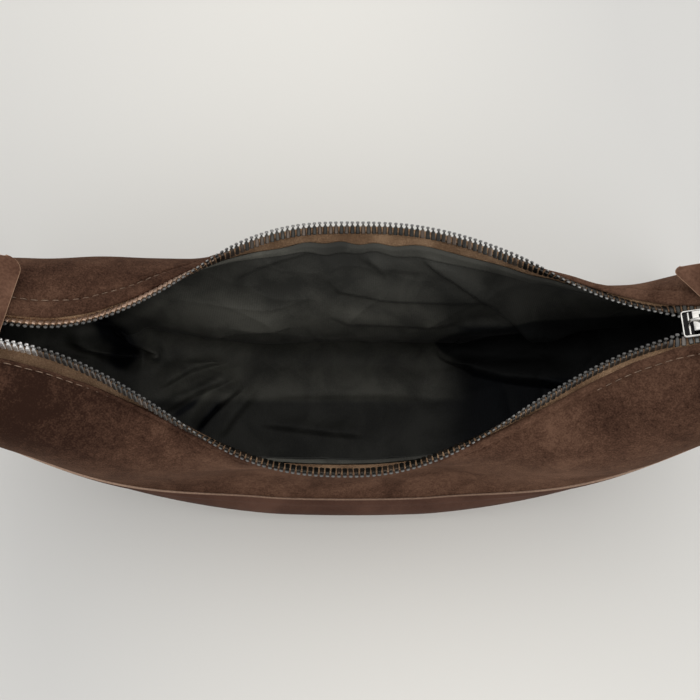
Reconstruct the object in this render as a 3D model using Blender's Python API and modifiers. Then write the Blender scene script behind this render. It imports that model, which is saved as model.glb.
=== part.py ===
"""A soft crescent shoulder bag with a zip along its top, standing open on a table.

The bag's skin is laid out on ribs. Each rib runs from the bottom centre line, out over the
gusset, up the front or back panel, and on along the zip tape to the teeth. X runs along the
bag, Y from its front to its back, and Z up from the surface that it stands on. Metres.
"""
import math

import bmesh
import bpy
import numpy as np
from mathutils import Matrix, Vector

# Side view of the bag
outline_half_length = 0.203
outline_end_height = 0.160
outline_power = 1.8
bottom_pressed_flat = 0.0065
mouth_middle_height = 0.126
mouth_bend_half_length = 0.148
mouth_bend_slope = 0.56
mouth_level_half_length = 0.182
top_half_length = 0.201

# Width of the gusset and place of its seams
gusset_half_width = 0.0578
gusset_end_half_width = 0.0270
gusset_corner_width = 0.0200
seam_height = 0.037
seam_end_height = 0.0060
seam_angle_middle = 138.0
seam_angle_end = 62.0

# Open mouth
mouth_half_length = 0.163
zip_half_length = 0.168
row_end_half_gap = 0.0056
front_row_reach = 0.0516
back_row_reach = 0.0768
front_left_curve = (2.8, 2.7)
front_right_curve = (2.0, 1.8)
back_left_curve = (1.9, 2.4)
back_right_curve = (2.1, 1.5)
right_end_offset = 0.0035
front_fullness = 0.53
back_left_fullness = 0.64
back_right_fullness = 0.34
tape_angle_end = 1.0
tape_angle_middle = 130.0

# Material thicknesses and clearances
panel_thickness = 0.0014
gusset_thickness = 0.0018
board_thickness = 0.0015
lining_thickness = 0.0005
tape_thickness = 0.0008
clearance = 0.0003
tape_clearance = 0.0006
seam_gap = 0.0006

# Zip
tape_shown = 0.0018
tape_hidden = 0.0120
lining_drop = 0.0042
tooth_pitch = 0.0028
tooth_width = 0.0014
tooth_length = 0.0026
tooth_thickness = 0.0022
bead_width = 0.0010
stop_length = 0.0024
stop_thickness = 0.0020
stop_reach = 0.0026
stop_bevel = 0.0003
bottom_stop_thickness = 0.0024
bottom_stop_inset = 0.0004
row_end_bare = 0.0040

# Slider and its pull
slider_length = 0.0126
slider_width = 0.0128
slider_plate_thickness = 0.0012
slider_neck_width = 0.0022
slider_clearance = 0.0009
slider_neck_length = 0.0030
slider_rest_x = 0.1558
slider_end_x = -0.1400
bail_height = 0.0040
bail_wire = 0.0013
pull_length = 0.0240
pull_width = 0.0092
pull_thickness = 0.0014
pull_bar_half_length = 0.0014
pull_bail_window = 0.0048
pull_rest_tilt = 1.0

# Strap, its tabs and rings
tab_half_width = 0.0245
tab_centre_y = 0.0075
tab_thickness = 0.0020
tab_corner_radius = 0.0070
left_tab_end_x = 0.1510
left_tab_skew = 0.14
right_tab_end_x = 0.1652
right_tab_skew = 0.70
tab_cut_x = 0.2100
tab_under_drop = 0.0300
tab_lift = 0.0025
tab_under_lift = 0.0004
ring_side_gap = 0.0015
ring_end_gap = 0.0015
ring_wire = 0.0038
ring_inner_length = 0.0120
ring_corner_radius = 0.0045
ring_hang_angle = 62.0
strap_half_width = 0.0220
strap_thickness = 0.0028
strap_fold_length = 0.0300
strap_lie_y = 0.0740
strap_corner_radius = 0.0300

# Pieces inside
board_half_length = 0.0340
board_half_width = 0.0340
pocket_half_length = 0.0680
pocket_height = 0.0600
pocket_top_drop = 0.0240
pocket_thickness = 0.0006
pocket_looseness = 0.0012
zip_end_length = 0.0100
zip_end_gap = 0.0020
zip_end_hidden = 0.0060
zip_end_showing = 0.0012

zip_rib_count = 26
end_rib_count = 4

# Start from an empty scene

for old_object in list(bpy.data.objects):
    bpy.data.objects.remove(old_object, do_unlink=True)
parts = bpy.data.collections.new("crescent_shoulder_bag")
bpy.context.scene.collection.children.link(parts)


def make_material(name, colour, roughness, metallic=0.0):
    """Return a Principled material."""
    material = bpy.data.materials.new(name)
    material.use_nodes = True
    shader = material.node_tree.nodes["Principled BSDF"]
    shader.inputs["Base Color"].default_value = (*colour, 1.0)
    shader.inputs["Roughness"].default_value = roughness
    shader.inputs["Metallic"].default_value = metallic
    material.diffuse_color = (*colour, 1.0)
    return material


suede_brown = (0.062, 0.030, 0.019)
leather_brown = (0.075, 0.037, 0.023)
lining_black = (0.012, 0.012, 0.012)
tape_brown = (0.120, 0.062, 0.030)
nickel_grey = (0.420, 0.400, 0.380)
board_grey = (0.160, 0.150, 0.140)


def smooth_step(value):
    """Ease from 0 to 1 as the value goes from 0 to 1."""
    value = min(max(value, 0.0), 1.0)
    return value * value * (3.0 - 2.0 * value)


def even_path(xs, zs):
    """Return a path's points with the share of its length at which each one lies."""
    steps = np.hypot(np.diff(xs), np.diff(zs))
    lengths = np.concatenate([[0.0], np.cumsum(steps)])
    return lengths / lengths[-1], xs, zs


def top_height(x):
    """Height of the zip line at x: a parabola that eases to level over the bag's ends."""
    distance = min(abs(x), mouth_level_half_length)
    inner = min(distance, mouth_bend_half_length)
    height = mouth_middle_height + 0.5 * mouth_bend_slope * inner**2 / mouth_bend_half_length
    past = distance - inner
    return height + mouth_bend_slope * past * (1.0 - 0.5 * past / (mouth_level_half_length - mouth_bend_half_length))


turns = np.linspace(0.0, 0.5 * math.pi, 600)
low_xs = outline_half_length * np.sin(turns) ** (2.0 / outline_power)
low_depth = outline_end_height + bottom_pressed_flat
low_zs = np.maximum(outline_end_height - low_depth * np.cos(turns) ** (2.0 / outline_power), 0.0)
low_path = even_path(low_xs, low_zs)
low_length = float(np.hypot(np.diff(low_xs), np.diff(low_zs)).sum())
top_xs = np.linspace(0.0, top_half_length, 400)
top_path = even_path(top_xs, np.array([top_height(x) for x in top_xs]))


def on_path(path, share):
    """Return x and z at a signed share of the way from the middle to the end."""
    x = float(np.interp(abs(share), path[0], path[1]))
    z = float(np.interp(abs(share), path[0], path[2]))
    return math.copysign(x, share), z


def share_of_x(path, x):
    """Return the share of the path's length at which it passes x."""
    return float(np.interp(abs(x), path[1], path[0]))


zip_share = share_of_x(top_path, zip_half_length)


def row_reach(side, x):
    """Distance of a row of teeth from the zip's centre line."""
    t = min(abs(x) / mouth_half_length, 1.0)
    if side < 0:
        reach = front_row_reach
        curve = front_left_curve if x < 0.0 else front_right_curve
    else:
        reach = back_row_reach
        curve = back_left_curve if x < 0.0 else back_right_curve
    return row_end_half_gap + (reach - row_end_half_gap) * (1.0 - t ** curve[0]) ** curve[1]


def centre_y(x):
    """Place of the zip's centre line: it drifts back towards the right end."""
    return right_end_offset * smooth_step(x / mouth_half_length)


def row_direction(side, x):
    """Direction in which the teeth point: to the centre at the ends, out and up in the middle."""
    t = min(abs(x) / mouth_half_length, 1.0)
    if side > 0 and x > 0.0:
        share = (1.0 - t**3.0) ** 2.4
    else:
        share = (1.0 - t**1.8) ** 4.0
    angle = math.radians(tape_angle_end + (tape_angle_middle - tape_angle_end) * share)
    return Vector((0.0, -side * math.cos(angle), math.sin(angle)))


def row_outward(side, x):
    """Direction square to the tape, towards the outside of the bag."""
    direction = row_direction(side, x)
    return Vector((0.0, side * direction.z, -side * direction.y))


def row_point(side, x):
    """Edge of the zip tape that carries the teeth."""
    return Vector((x, centre_y(x) + side * row_reach(side, x), top_height(x)))


def panel_edge(side, share):
    """Upper edge of a panel on its outer face. Past the zip the two panels nearly meet."""
    x = on_path(top_path, share)[0]
    held_x = math.copysign(min(abs(x), zip_half_length), x)
    lift = panel_thickness + tape_clearance + 0.5 * tape_thickness
    point = row_point(side, held_x) - row_direction(side, held_x) * tape_shown
    point += row_outward(side, held_x) * lift
    past = smooth_step((abs(x) - zip_half_length) / (top_half_length - zip_half_length) * 3.0)
    y = point.y * (1.0 - past) + (centre_y(x) + side * seam_gap) * past
    return Vector((x, y, point.z + top_height(x) - top_height(held_x)))


def rib(side, share):
    """Sizes of one rib: foot, direction up, height, half width, seam height and seam angle."""
    gx, gz = on_path(low_path, share)
    tx, tz = on_path(top_path, share)
    up = Vector((tx - gx, 0.0, tz - gz))
    height = up.length
    up.normalize()
    reach = abs(share)
    fall = (1.0 - reach**2.0) ** 1.2
    half_width = gusset_end_half_width + (gusset_half_width - gusset_end_half_width) * fall
    seam = seam_end_height + (seam_height - seam_end_height) * (1.0 - reach**2.0) ** 1.4
    turn = smooth_step(reach / 0.6)
    angle = math.radians(seam_angle_middle + (seam_angle_end - seam_angle_middle) * turn)
    return Vector((gx, 0.0, gz)), up, height, half_width, seam, angle


def gusset_point(side, share, along):
    """Outer face of the gusset, from the bottom centre line (0) to its seam (1)."""
    foot, up, height, half_width, seam, angle = rib(side, share)
    corner = min(gusset_corner_width, 0.8 * half_width)
    flat = half_width - corner
    flat_share = 0.4
    if along <= flat_share:
        return foot + Vector((0.0, side * flat * along / flat_share, 0.0))
    turned = angle * (along - flat_share) / (1.0 - flat_share)
    rise = seam / (1.0 - math.cos(angle))
    out = flat + corner * math.sin(turned)
    return foot + Vector((0.0, side * out, 0.0)) + up * (rise * (1.0 - math.cos(turned)))


def panel_point(side, share, along):
    """Outer face of a panel, from the gusset seam (0) to the panel's upper edge (1)."""
    foot, up, height, half_width, seam, angle = rib(side, share)
    corner = min(gusset_corner_width, 0.8 * half_width)
    rise = seam / (1.0 - math.cos(angle))
    start = gusset_point(side, share, 1.0)
    leaving = Vector((0.0, side * corner * math.cos(angle), 0.0)) + up * (rise * math.sin(angle))
    leaving.normalize()
    end = panel_edge(side, share)
    span = (end - start).length
    x = math.copysign(min(abs(end.x), zip_half_length), end.x)
    arriving = row_direction(side, x)
    spread = smooth_step(abs(share) / 0.75)
    fullness = front_fullness
    if side > 0:
        fullness = back_left_fullness
        spread = smooth_step(abs(share) / 0.65)
    if side > 0 and share > 0.0:
        fullness = back_right_fullness
        spread = smooth_step((share - 0.55) / 0.35)
    first = start + leaving * span * (0.26 + 0.10 * spread)
    last = end - arriving * span * (0.12 + fullness * spread)
    a = (1.0 - along) ** 3
    b = 3.0 * along * (1.0 - along) ** 2
    c = 3.0 * along**2 * (1.0 - along)
    return start * a + first * b + last * c + end * along**3


def inward(surface, side, share, along, depth):
    """A point that lies the given depth inside one of the two outer faces."""
    step = 0.002
    low_share = max(share - step, -1.0)
    high_share = min(share + step, 1.0)
    low_along = max(along - step, 0.0)
    high_along = min(along + step, 1.0)
    across = surface(side, high_share, along) - surface(side, low_share, along)
    upward = surface(side, share, high_along) - surface(side, share, low_along)
    normal = across.cross(upward)
    normal.normalize()
    if side > 0:
        normal = -normal
    return surface(side, share, along) - normal * depth


def along_of_distance(side, share, distance):
    """Share of a panel's rib at a distance from the panel's upper edge."""
    count = 40
    points = [panel_point(side, share, 1.0 - n / count) for n in range(count + 1)]
    lengths = [0.0]
    for before, after in zip(points, points[1:]):
        lengths.append(lengths[-1] + (after - before).length)
    return 1.0 - float(np.interp(distance, lengths, np.linspace(0.0, 1.0, count + 1)))


def along_of_seam_distance(side, share, distance):
    """Share of a panel's rib at a distance from its lower seam."""
    step = 0.01
    near = (panel_point(side, share, step) - panel_point(side, share, 0.0)).length
    return step * distance / near


def mesh_object(name, points, faces, material):
    """Link a new mesh object made of these points and faces."""
    mesh = bpy.data.meshes.new(name)
    mesh.from_pydata([tuple(point) for point in points], [], faces)
    mesh.update()
    mesh.materials.append(material)
    piece = bpy.data.objects.new(name, mesh)
    parts.objects.link(piece)
    return piece


def sheet_object(name, rows, thickness, material, toward, centred=False):
    """Loft a sheet through rows of points and give it a thickness away from its outer face.

    The direction named toward is the one that the sheet's outer face looks in at its middle row.
    """
    wide = len(rows[0])
    points = [point for row in rows for point in row]
    faces = []
    for i in range(len(rows) - 1):
        for j in range(wide - 1):
            corner = i * wide + j
            faces.append((corner, corner + 1, corner + wide + 1, corner + wide))
    middle = faces[(len(rows) // 2) * (wide - 1) + (wide - 1) // 2]
    a, b, c, d = (points[k] for k in middle)
    if (c - a).cross(d - b).dot(toward) < 0.0:
        faces = [tuple(reversed(face)) for face in faces]
    piece = mesh_object(name, points, faces, material)
    shell = piece.modifiers.new("thickness", "SOLIDIFY")
    shell.thickness = thickness
    shell.offset = 0.0 if centred else -1.0
    shell.use_even_offset = False
    return piece


zip_shares = [zip_share * (2.0 * n / zip_rib_count - 1.0) for n in range(zip_rib_count + 1)]
end_shares = [zip_share + (1.0 - zip_share) * (n + 1) / end_rib_count for n in range(end_rib_count)]
shares = [-share for share in reversed(end_shares)] + zip_shares + end_shares


def panel_steps(side, share, edge):
    """Places of a panel's rings: close to the seam, up the wall, and along the hidden tape."""
    if edge > 0.0:
        first = [along_of_seam_distance(side, share, edge), along_of_seam_distance(side, share, edge + 0.0015)]
    else:
        first = [0.0]
    tape_low = along_of_distance(side, share, tape_hidden)
    tape_mid = along_of_distance(side, share, lining_drop)
    wall = [first[-1] + (tape_low - first[-1]) * k / 4.0 for k in range(1, 4)]
    return first + wall + [tape_low, tape_mid, 1.0]


# Gusset: the smooth leather band under the bag and up to both ends

gusset_alongs = [0.0, 0.40, 0.55, 0.70, 0.85, 0.97, 1.0]
rows = []
for share in shares:
    front = [gusset_point(-1, share, along) for along in reversed(gusset_alongs[1:])]
    back = [gusset_point(1, share, along) for along in gusset_alongs]
    rows.append(front + back)
gusset = sheet_object(
    "gusset", rows, gusset_thickness, make_material("smooth_leather", leather_brown, 0.45), Vector((0, 0, -1))
)

# Front and back panels of suede

for side, name in ((-1, "front_panel"), (1, "back_panel")):
    rows = []
    for share in shares:
        rows.append([panel_point(side, share, step) for step in panel_steps(side, share, seam_gap)])
    sheet_object(name, rows, panel_thickness, make_material(name, suede_brown, 0.95), Vector((0, side, 0)))

# Lining: a front, a back and a base, inside the panels and the gusset

lining_depth = panel_thickness + tape_clearance + tape_thickness + clearance
base_depth = gusset_thickness + clearance + board_thickness + clearance
for side, name in ((-1, "lining_front"), (1, "lining_back")):
    rows = []
    for share in zip_shares:
        steps = panel_steps(side, share, seam_gap)[:-1]
        rows.append([inward(panel_point, side, share, step, lining_depth) for step in steps])
    sheet_object(name, rows, lining_thickness, make_material(name, lining_black, 0.8), Vector((0, side, 0)))

rows = []
for share in zip_shares:
    half_rows = []
    for side in (-1, 1):
        half = []
        for along in (0.0, 0.40, 0.60, 0.80, 0.94):
            depth = base_depth + (lining_depth - base_depth) * smooth_step((along - 0.4) / 0.5)
            half.append(inward(gusset_point, side, share, max(along, 0.004), depth))
        half_rows.append(half)
    middle = (half_rows[0][0] + half_rows[1][0]) * 0.5
    rows.append(list(reversed(half_rows[0][1:])) + [middle] + half_rows[1][1:])
sheet_object(
    "lining_base", rows, lining_thickness, make_material("lining_base", lining_black, 0.8), Vector((0, 0, -1))
)

# Board that keeps the bottom flat, between the gusset and the lining

bpy.ops.mesh.primitive_cube_add(size=1.0)
board = bpy.context.object
board.name = "base_board"
board.dimensions = (2.0 * board_half_length, 2.0 * board_half_width, board_thickness)
board.location = (0.0, 0.0, gusset_thickness + clearance + 0.5 * board_thickness)
bpy.ops.object.transform_apply(location=False, rotation=False, scale=True)
board.data.name = "base_board"
board.data.materials.append(make_material("board", board_grey, 0.9))
corners = board.modifiers.new("corners", "BEVEL")
corners.width = 0.004
corners.segments = 2
corners.limit_method = "ANGLE"
corners.affect = "EDGES"
for collection in list(board.users_collection):
    collection.objects.unlink(board)
parts.objects.link(board)
weights = board.data.attributes.new("bevel_weight_edge", "FLOAT", "EDGE")
for edge in board.data.edges:
    a, b = (board.data.vertices[k].co for k in edge.vertices)
    weights.data[edge.index].value = 1.0 if abs(a.z - b.z) > 0.5 * board_thickness else 0.0
corners.limit_method = "WEIGHT"

# Slip pocket on the front lining

rows = []
pocket_depth = lining_depth + lining_thickness + pocket_looseness
for n in range(13):
    x = pocket_half_length * (n / 6.0 - 1.0)
    share = math.copysign(share_of_x(top_path, x), x)
    top = along_of_distance(-1, share, pocket_top_drop)
    bottom = along_of_distance(-1, share, pocket_top_drop + pocket_height)
    steps = [bottom + (top - bottom) * k / 4.0 for k in range(5)]
    rows.append([inward(panel_point, -1, share, step, pocket_depth) for step in steps])
sheet_object(
    "slip_pocket", rows, pocket_thickness, make_material("pocket", lining_black, 0.8), Vector((0, -1, 0))
)

# Zip tapes: a hidden part behind the panel and a shown part that carries the teeth

tape_depth = panel_thickness + tape_clearance
for side, name in ((-1, "zip_tape_front"), (1, "zip_tape_back")):
    rows = []
    for share in zip_shares:
        x = on_path(top_path, share)[0]
        low = along_of_distance(side, share, tape_hidden)
        mid = along_of_distance(side, share, lining_drop)
        edge = row_point(side, x) + row_outward(side, x) * 0.5 * tape_thickness
        shown = [edge - row_direction(side, x) * tape_shown * k for k in (1.0, 0.0)]
        hidden = [inward(panel_point, side, share, step, tape_depth) for step in (low, mid)]
        rows.append(hidden + shown)
    sheet_object(name, rows, tape_thickness, make_material(name, tape_brown, 0.85), Vector((0, side, 0)))

# Ends of the zip: a patch that closes the slit past each end of the teeth, under both panels

for hand, name in ((-1, "zip_end_left"), (1, "zip_end_right")):
    rows = []
    for n in range(4):
        x = zip_half_length + zip_end_gap + zip_end_length * n / 3.0
        share = hand * share_of_x(top_path, x)
        row = []
        for side, direction in ((-1, 1), (1, -1)):
            distances = [zip_end_hidden, 0.5 * zip_end_hidden, zip_end_showing][::direction]
            for distance in distances:
                along = along_of_distance(side, share, distance)
                row.append(inward(panel_point, side, share, along, panel_thickness + tape_clearance))
        rows.append(row)
    sheet_object(name, rows, tape_thickness, make_material(name, tape_brown, 0.85), Vector((0, 0, 1)))

# Rows of teeth, each one comb: a bead along the tape's edge and the teeth that stand on it


def row_frames(side):
    """Points along a row with the teeth's direction and the direction square to the tape."""
    frames = []
    for share in zip_shares:
        x = on_path(top_path, share)[0]
        frames.append((row_point(side, x), row_direction(side, x), row_outward(side, x)))
    return frames


def frame_at(frames, lengths, distance):
    """Blend between the frames on either side of a distance along the row."""
    k = int(np.searchsorted(lengths, distance, side="right")) - 1
    k = min(max(k, 0), len(frames) - 2)
    share = (distance - lengths[k]) / (lengths[k + 1] - lengths[k])
    before, after = frames[k], frames[k + 1]
    blended = [a * (1.0 - share) + b * share for a, b in zip(before, after)]
    blended[1].normalize()
    blended[2].normalize()
    return blended


def row_lengths(frames):
    """Distance along a row at which each of its frames lies."""
    lengths = [0.0]
    for before, after in zip(frames, frames[1:]):
        lengths.append(lengths[-1] + (after[0] - before[0]).length)
    return lengths


def comb_rows(frames, start, end, count):
    """Rings of corners along a comb: short over the bead and long over each tooth."""
    lengths = row_lengths(frames)
    pitch = (lengths[-1] - start - end) / count
    rings = []
    for n in range(count):
        centre = start + (n + 0.5) * pitch
        for distance, reach in (
            (centre - 0.5 * tooth_width, bead_width),
            (centre - 0.5 * tooth_width, bead_width + tooth_length),
            (centre + 0.5 * tooth_width, bead_width + tooth_length),
            (centre + 0.5 * tooth_width, bead_width),
        ):
            point, direction, outward = frame_at(frames, lengths, distance)
            half = outward * 0.5 * tooth_thickness
            root = point + direction * clearance
            tip = root + direction * reach
            rings.append([root - half, tip - half, tip + half, root + half])
    return rings


def comb_object(name, rings, material):
    """Join the rings of a comb into one closed solid. Each tooth's two long rings share root corners."""
    points = []
    index = {}
    faces = []

    def corner(point):
        key = tuple(round(value * 1e7) for value in point)
        if key not in index:
            index[key] = len(points)
            points.append(point)
        return index[key]

    numbered = [[corner(point) for point in ring] for ring in rings]
    for before, after in zip(numbered, numbered[1:]):
        for k in range(4):
            face = []
            for number in (before[k], before[(k + 1) % 4], after[(k + 1) % 4], after[k]):
                if number not in face:
                    face.append(number)
            if len(face) > 2:
                faces.append(tuple(face))
    faces.append(tuple(reversed(numbered[0])))
    faces.append(tuple(numbered[-1]))
    piece = mesh_object(name, points, faces, material)
    shape = bmesh.new()
    shape.from_mesh(piece.data)
    if shape.calc_volume(signed=True) < 0.0:
        bmesh.ops.reverse_faces(shape, faces=shape.faces[:])
    shape.to_mesh(piece.data)
    shape.free()
    return piece


mean_length = 0.5 * (row_lengths(row_frames(-1))[-1] + row_lengths(row_frames(1))[-1])
tooth_count = int((mean_length - 2.0 * row_end_bare) / tooth_pitch)
for side, name in ((-1, "teeth_front"), (1, "teeth_back")):
    rings = comb_rows(row_frames(side), row_end_bare, row_end_bare, tooth_count)
    comb_object(name, rings, make_material(name, nickel_grey, 0.35, 1.0))
print("teeth in each row:", tooth_count, "row length:", round(mean_length, 4))


def block_object(name, centre, axes, sizes, material, bevel=0.0):
    """A box with its centre, three unit axes and three sizes, and rounded edges."""
    bpy.ops.mesh.primitive_cube_add(size=1.0)
    block = bpy.context.object
    block.name = name
    block.data.name = name
    block.data.transform(Matrix.Diagonal((*sizes, 1.0)))
    turn = Matrix((axes[0], axes[1], axes[2])).transposed().to_4x4()
    block.matrix_world = Matrix.Translation(centre) @ turn
    block.data.materials.append(material)
    if bevel > 0.0:
        edges = block.modifiers.new("edges", "BEVEL")
        edges.width = bevel
        edges.segments = 2
    for collection in list(block.users_collection):
        collection.objects.unlink(block)
    parts.objects.link(block)
    return block


# Top stops: one small clamp past the last tooth of each row, at the left end

metal = make_material("zip_metal", nickel_grey, 0.3, 1.0)
for side, name in ((-1, "top_stop_front"), (1, "top_stop_back")):
    point, direction, outward = row_frames(side)[0]
    following = row_frames(side)[1][0]
    forward = (following - point).normalized()
    square = forward.cross(direction).normalized()
    straight = square.cross(forward).normalized()
    centre = point + forward * 0.5 * stop_length + straight * (clearance + 0.5 * stop_reach)
    sizes = (stop_length, stop_reach, stop_thickness)
    block_object(name, centre, (forward, straight, square), sizes, metal, stop_bevel)

# Bottom stop: one clamp that holds both rows together at the right end

end_x = zip_half_length
stop_slope = math.atan2(top_height(end_x + 0.001) - top_height(end_x - 0.001), 0.002)
stop_forward = Vector((math.cos(stop_slope), 0.0, math.sin(stop_slope)))
stop_square = Vector((-math.sin(stop_slope), 0.0, math.cos(stop_slope)))
stop_centre = Vector((end_x, centre_y(end_x), top_height(end_x))) - stop_forward * bottom_stop_inset
stop_sizes = (stop_length, 2.0 * (row_end_half_gap - tape_clearance), bottom_stop_thickness)
block_object(
    "bottom_stop", stop_centre, (stop_forward, Vector((0, 1, 0)), stop_square), stop_sizes, metal, stop_bevel
)

# Slider: its path is an arc in the bag's centre plane, through the closed zip

path_left = Vector((slider_end_x, centre_y(slider_end_x), top_height(slider_end_x)))
path_right = Vector((slider_rest_x, centre_y(slider_rest_x), top_height(slider_rest_x)))
chord = (path_right - path_left).length
chord_middle = (path_left + path_right) * 0.5
chord_forward = (path_right - path_left).normalized()
path_axis = Vector((-chord_forward.y, chord_forward.x, 0.0)).normalized()
chord_up = chord_forward.cross(path_axis)
rest_slope = math.atan2(top_height(slider_rest_x + 0.001) - top_height(slider_rest_x - 0.001), 0.002)
half_turn = rest_slope - math.atan2(chord_forward.z, chord_forward.x)
path_radius = 0.5 * chord / math.sin(half_turn)
path_centre = chord_middle + chord_up * path_radius * math.cos(half_turn)
half_turn = math.degrees(half_turn)
spoke = (path_centre - path_right).normalized()
slider_forward = path_axis.cross(spoke)
print("slider path centre:", tuple(round(v, 5) for v in path_centre), "turn:", round(2.0 * half_turn, 3))
print("slider path axis:", tuple(round(v, 5) for v in path_axis))

slot = tooth_thickness + 2.0 * slider_clearance
slider_axes = (slider_forward, path_axis, spoke)
slider_mid = path_right


def outline_plate(name, half_length, wide_half, narrow_half, thickness, material):
    """A flat plate that is wide over its first half and narrows to its far end, lying in XY."""
    curve = bpy.data.curves.new(name, "CURVE")
    curve.dimensions = "2D"
    curve.fill_mode = "BOTH"
    curve.extrude = 0.5 * thickness
    outline = []
    for k in range(7):
        turn = math.pi * (0.5 + k / 6.0)
        outline.append((-half_length + 0.4 * wide_half + 0.4 * wide_half * math.cos(turn), wide_half * math.sin(turn)))
    outline.append((0.1 * half_length, -wide_half))
    outline.append((half_length, -narrow_half))
    outline.append((half_length, narrow_half))
    outline.append((0.1 * half_length, wide_half))
    spline = curve.splines.new("POLY")
    spline.points.add(len(outline) - 1)
    for place, (x, y) in zip(spline.points, outline):
        place.co = (x, y, 0.0, 1.0)
    spline.use_cyclic_u = True
    flat = bpy.data.objects.new(name, curve)
    parts.objects.link(flat)
    bpy.context.view_layer.update()
    mesh = bpy.data.meshes.new_from_object(flat.evaluated_get(bpy.context.evaluated_depsgraph_get()))
    shape = bmesh.new()
    shape.from_mesh(mesh)
    bmesh.ops.remove_doubles(shape, verts=shape.verts[:], dist=0.000001)
    bmesh.ops.recalc_face_normals(shape, faces=shape.faces[:])
    shape.to_mesh(mesh)
    shape.free()
    mesh.name = name
    mesh.materials.clear()
    mesh.materials.append(material)
    bpy.data.objects.remove(flat, do_unlink=True)
    plate = bpy.data.objects.new(name, mesh)
    parts.objects.link(plate)
    return plate


cutters = bpy.data.collections.new("crescent_shoulder_bag_helpers")
bpy.context.scene.collection.children.link(cutters)


def make_helper(piece):
    """Hide a piece that only takes part in another piece's Boolean."""
    for collection in list(piece.users_collection):
        collection.objects.unlink(piece)
    cutters.objects.link(piece)
    piece.hide_render = True
    piece.display_type = "WIRE"


slider_turn = Matrix(slider_axes).transposed().to_4x4()
plate_offset = 0.5 * slot + 0.5 * slider_plate_thickness
slider = outline_plate(
    "slider_body", 0.5 * slider_length, 0.5 * slider_width, 0.38 * slider_width, slider_plate_thickness, metal
)
slider.matrix_world = Matrix.Translation(slider_mid + spoke * plate_offset) @ slider_turn
lower = outline_plate(
    "slider_lower_plate", 0.5 * slider_length, 0.5 * slider_width, 0.38 * slider_width, slider_plate_thickness, metal
)
lower.matrix_world = Matrix.Translation(slider_mid - spoke * plate_offset) @ slider_turn
make_helper(lower)
neck = block_object(
    "slider_neck",
    slider_mid - slider_forward * (0.5 * slider_length - 0.5 * slider_neck_length - 0.0002),
    slider_axes,
    (slider_neck_length, slider_neck_width, slot + slider_plate_thickness),
    metal,
)
make_helper(neck)
for helper in (lower, neck):
    joined = slider.modifiers.new(helper.name, "BOOLEAN")
    joined.operation = "UNION"
    joined.object = helper

# Bail: the wire bridge on the slider that the pull hangs from

bail_span = 0.5 * slider_length - 0.0024
bail_foot = 0.5 * slot + slider_plate_thickness + clearance
bail_curve = bpy.data.curves.new("slider_bail", "CURVE")
bail_curve.dimensions = "3D"
bail_curve.bevel_depth = 0.5 * bail_wire
bail_curve.bevel_resolution = 1
bail_curve.use_fill_caps = True
bail_line = bail_curve.splines.new("POLY")
bail_points = []
for k in range(9):
    turn = math.pi * k / 8.0
    bail_points.append((-bail_span * math.cos(turn), bail_foot + bail_height * math.sin(turn) ** 0.7))
bail_line.points.add(len(bail_points) - 1)
for place, (x, z) in zip(bail_line.points, bail_points):
    spot = slider_mid + slider_forward * x + spoke * z
    place.co = (*spot, 1.0)
bail_curve.materials.append(metal)
bail = bpy.data.objects.new("slider_bail", bail_curve)
parts.objects.link(bail)

# Pull: a flat plate with a window, hung on the bail

pull_turning_radius = math.hypot(pull_bar_half_length, 0.5 * pull_thickness)
pull_axis = slider_mid + spoke * (0.5 * slot + slider_plate_thickness + clearance + pull_turning_radius)
pull_turned = Matrix.Rotation(math.radians(pull_rest_tilt), 3, path_axis)
pull_along = pull_turned @ slider_forward
pull_normal = pull_turned @ spoke
print("pull hinge:", tuple(round(v, 5) for v in pull_axis))


def window_plate(name, length, width, thickness, start, material):
    """A plate with round ends and two windows: one for the bail and one that lightens it."""
    plate = block_object(
        name, Vector((0, 0, 0)), (Vector((1, 0, 0)), Vector((0, 1, 0)), Vector((0, 0, 1))),
        (length, width, thickness), material,
    )
    plate.data.transform(Matrix.Translation((start + 0.5 * length, 0.0, 0.0)))
    for label, centre_x, size_x, size_y in (
        ("bail_window", pull_bar_half_length + 0.5 * pull_bail_window, pull_bail_window, 0.60 * width),
        ("grip_window", start + 0.64 * length, 0.44 * length, 0.56 * width),
    ):
        window = block_object(
            name + "_" + label, Vector((0, 0, 0)),
            (Vector((1, 0, 0)), Vector((0, 1, 0)), Vector((0, 0, 1))),
            (size_x, size_y, 4.0 * thickness), material,
        )
        window.data.transform(Matrix.Translation((centre_x, 0.0, 0.0)))
        make_helper(window)
        cut = plate.modifiers.new(label, "BOOLEAN")
        cut.operation = "DIFFERENCE"
        cut.object = window
    return plate


pull = window_plate("pull_tab", pull_length, pull_width, pull_thickness, -pull_bar_half_length, metal)
pull_turn = Matrix((pull_along, path_axis, pull_normal)).transposed().to_4x4()
pull_place = Matrix.Translation(pull_axis) @ pull_turn
pull.matrix_world = pull_place
for cut in pull.modifiers:
    cut.object.matrix_world = pull_place

# Strap tabs on the bag's two ends

tab_leather = make_material("strap_leather", leather_brown, 0.5)


def tab_height(x):
    """Underside of a tab over the top of the bag's end."""
    return top_height(x) + tab_lift


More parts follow.
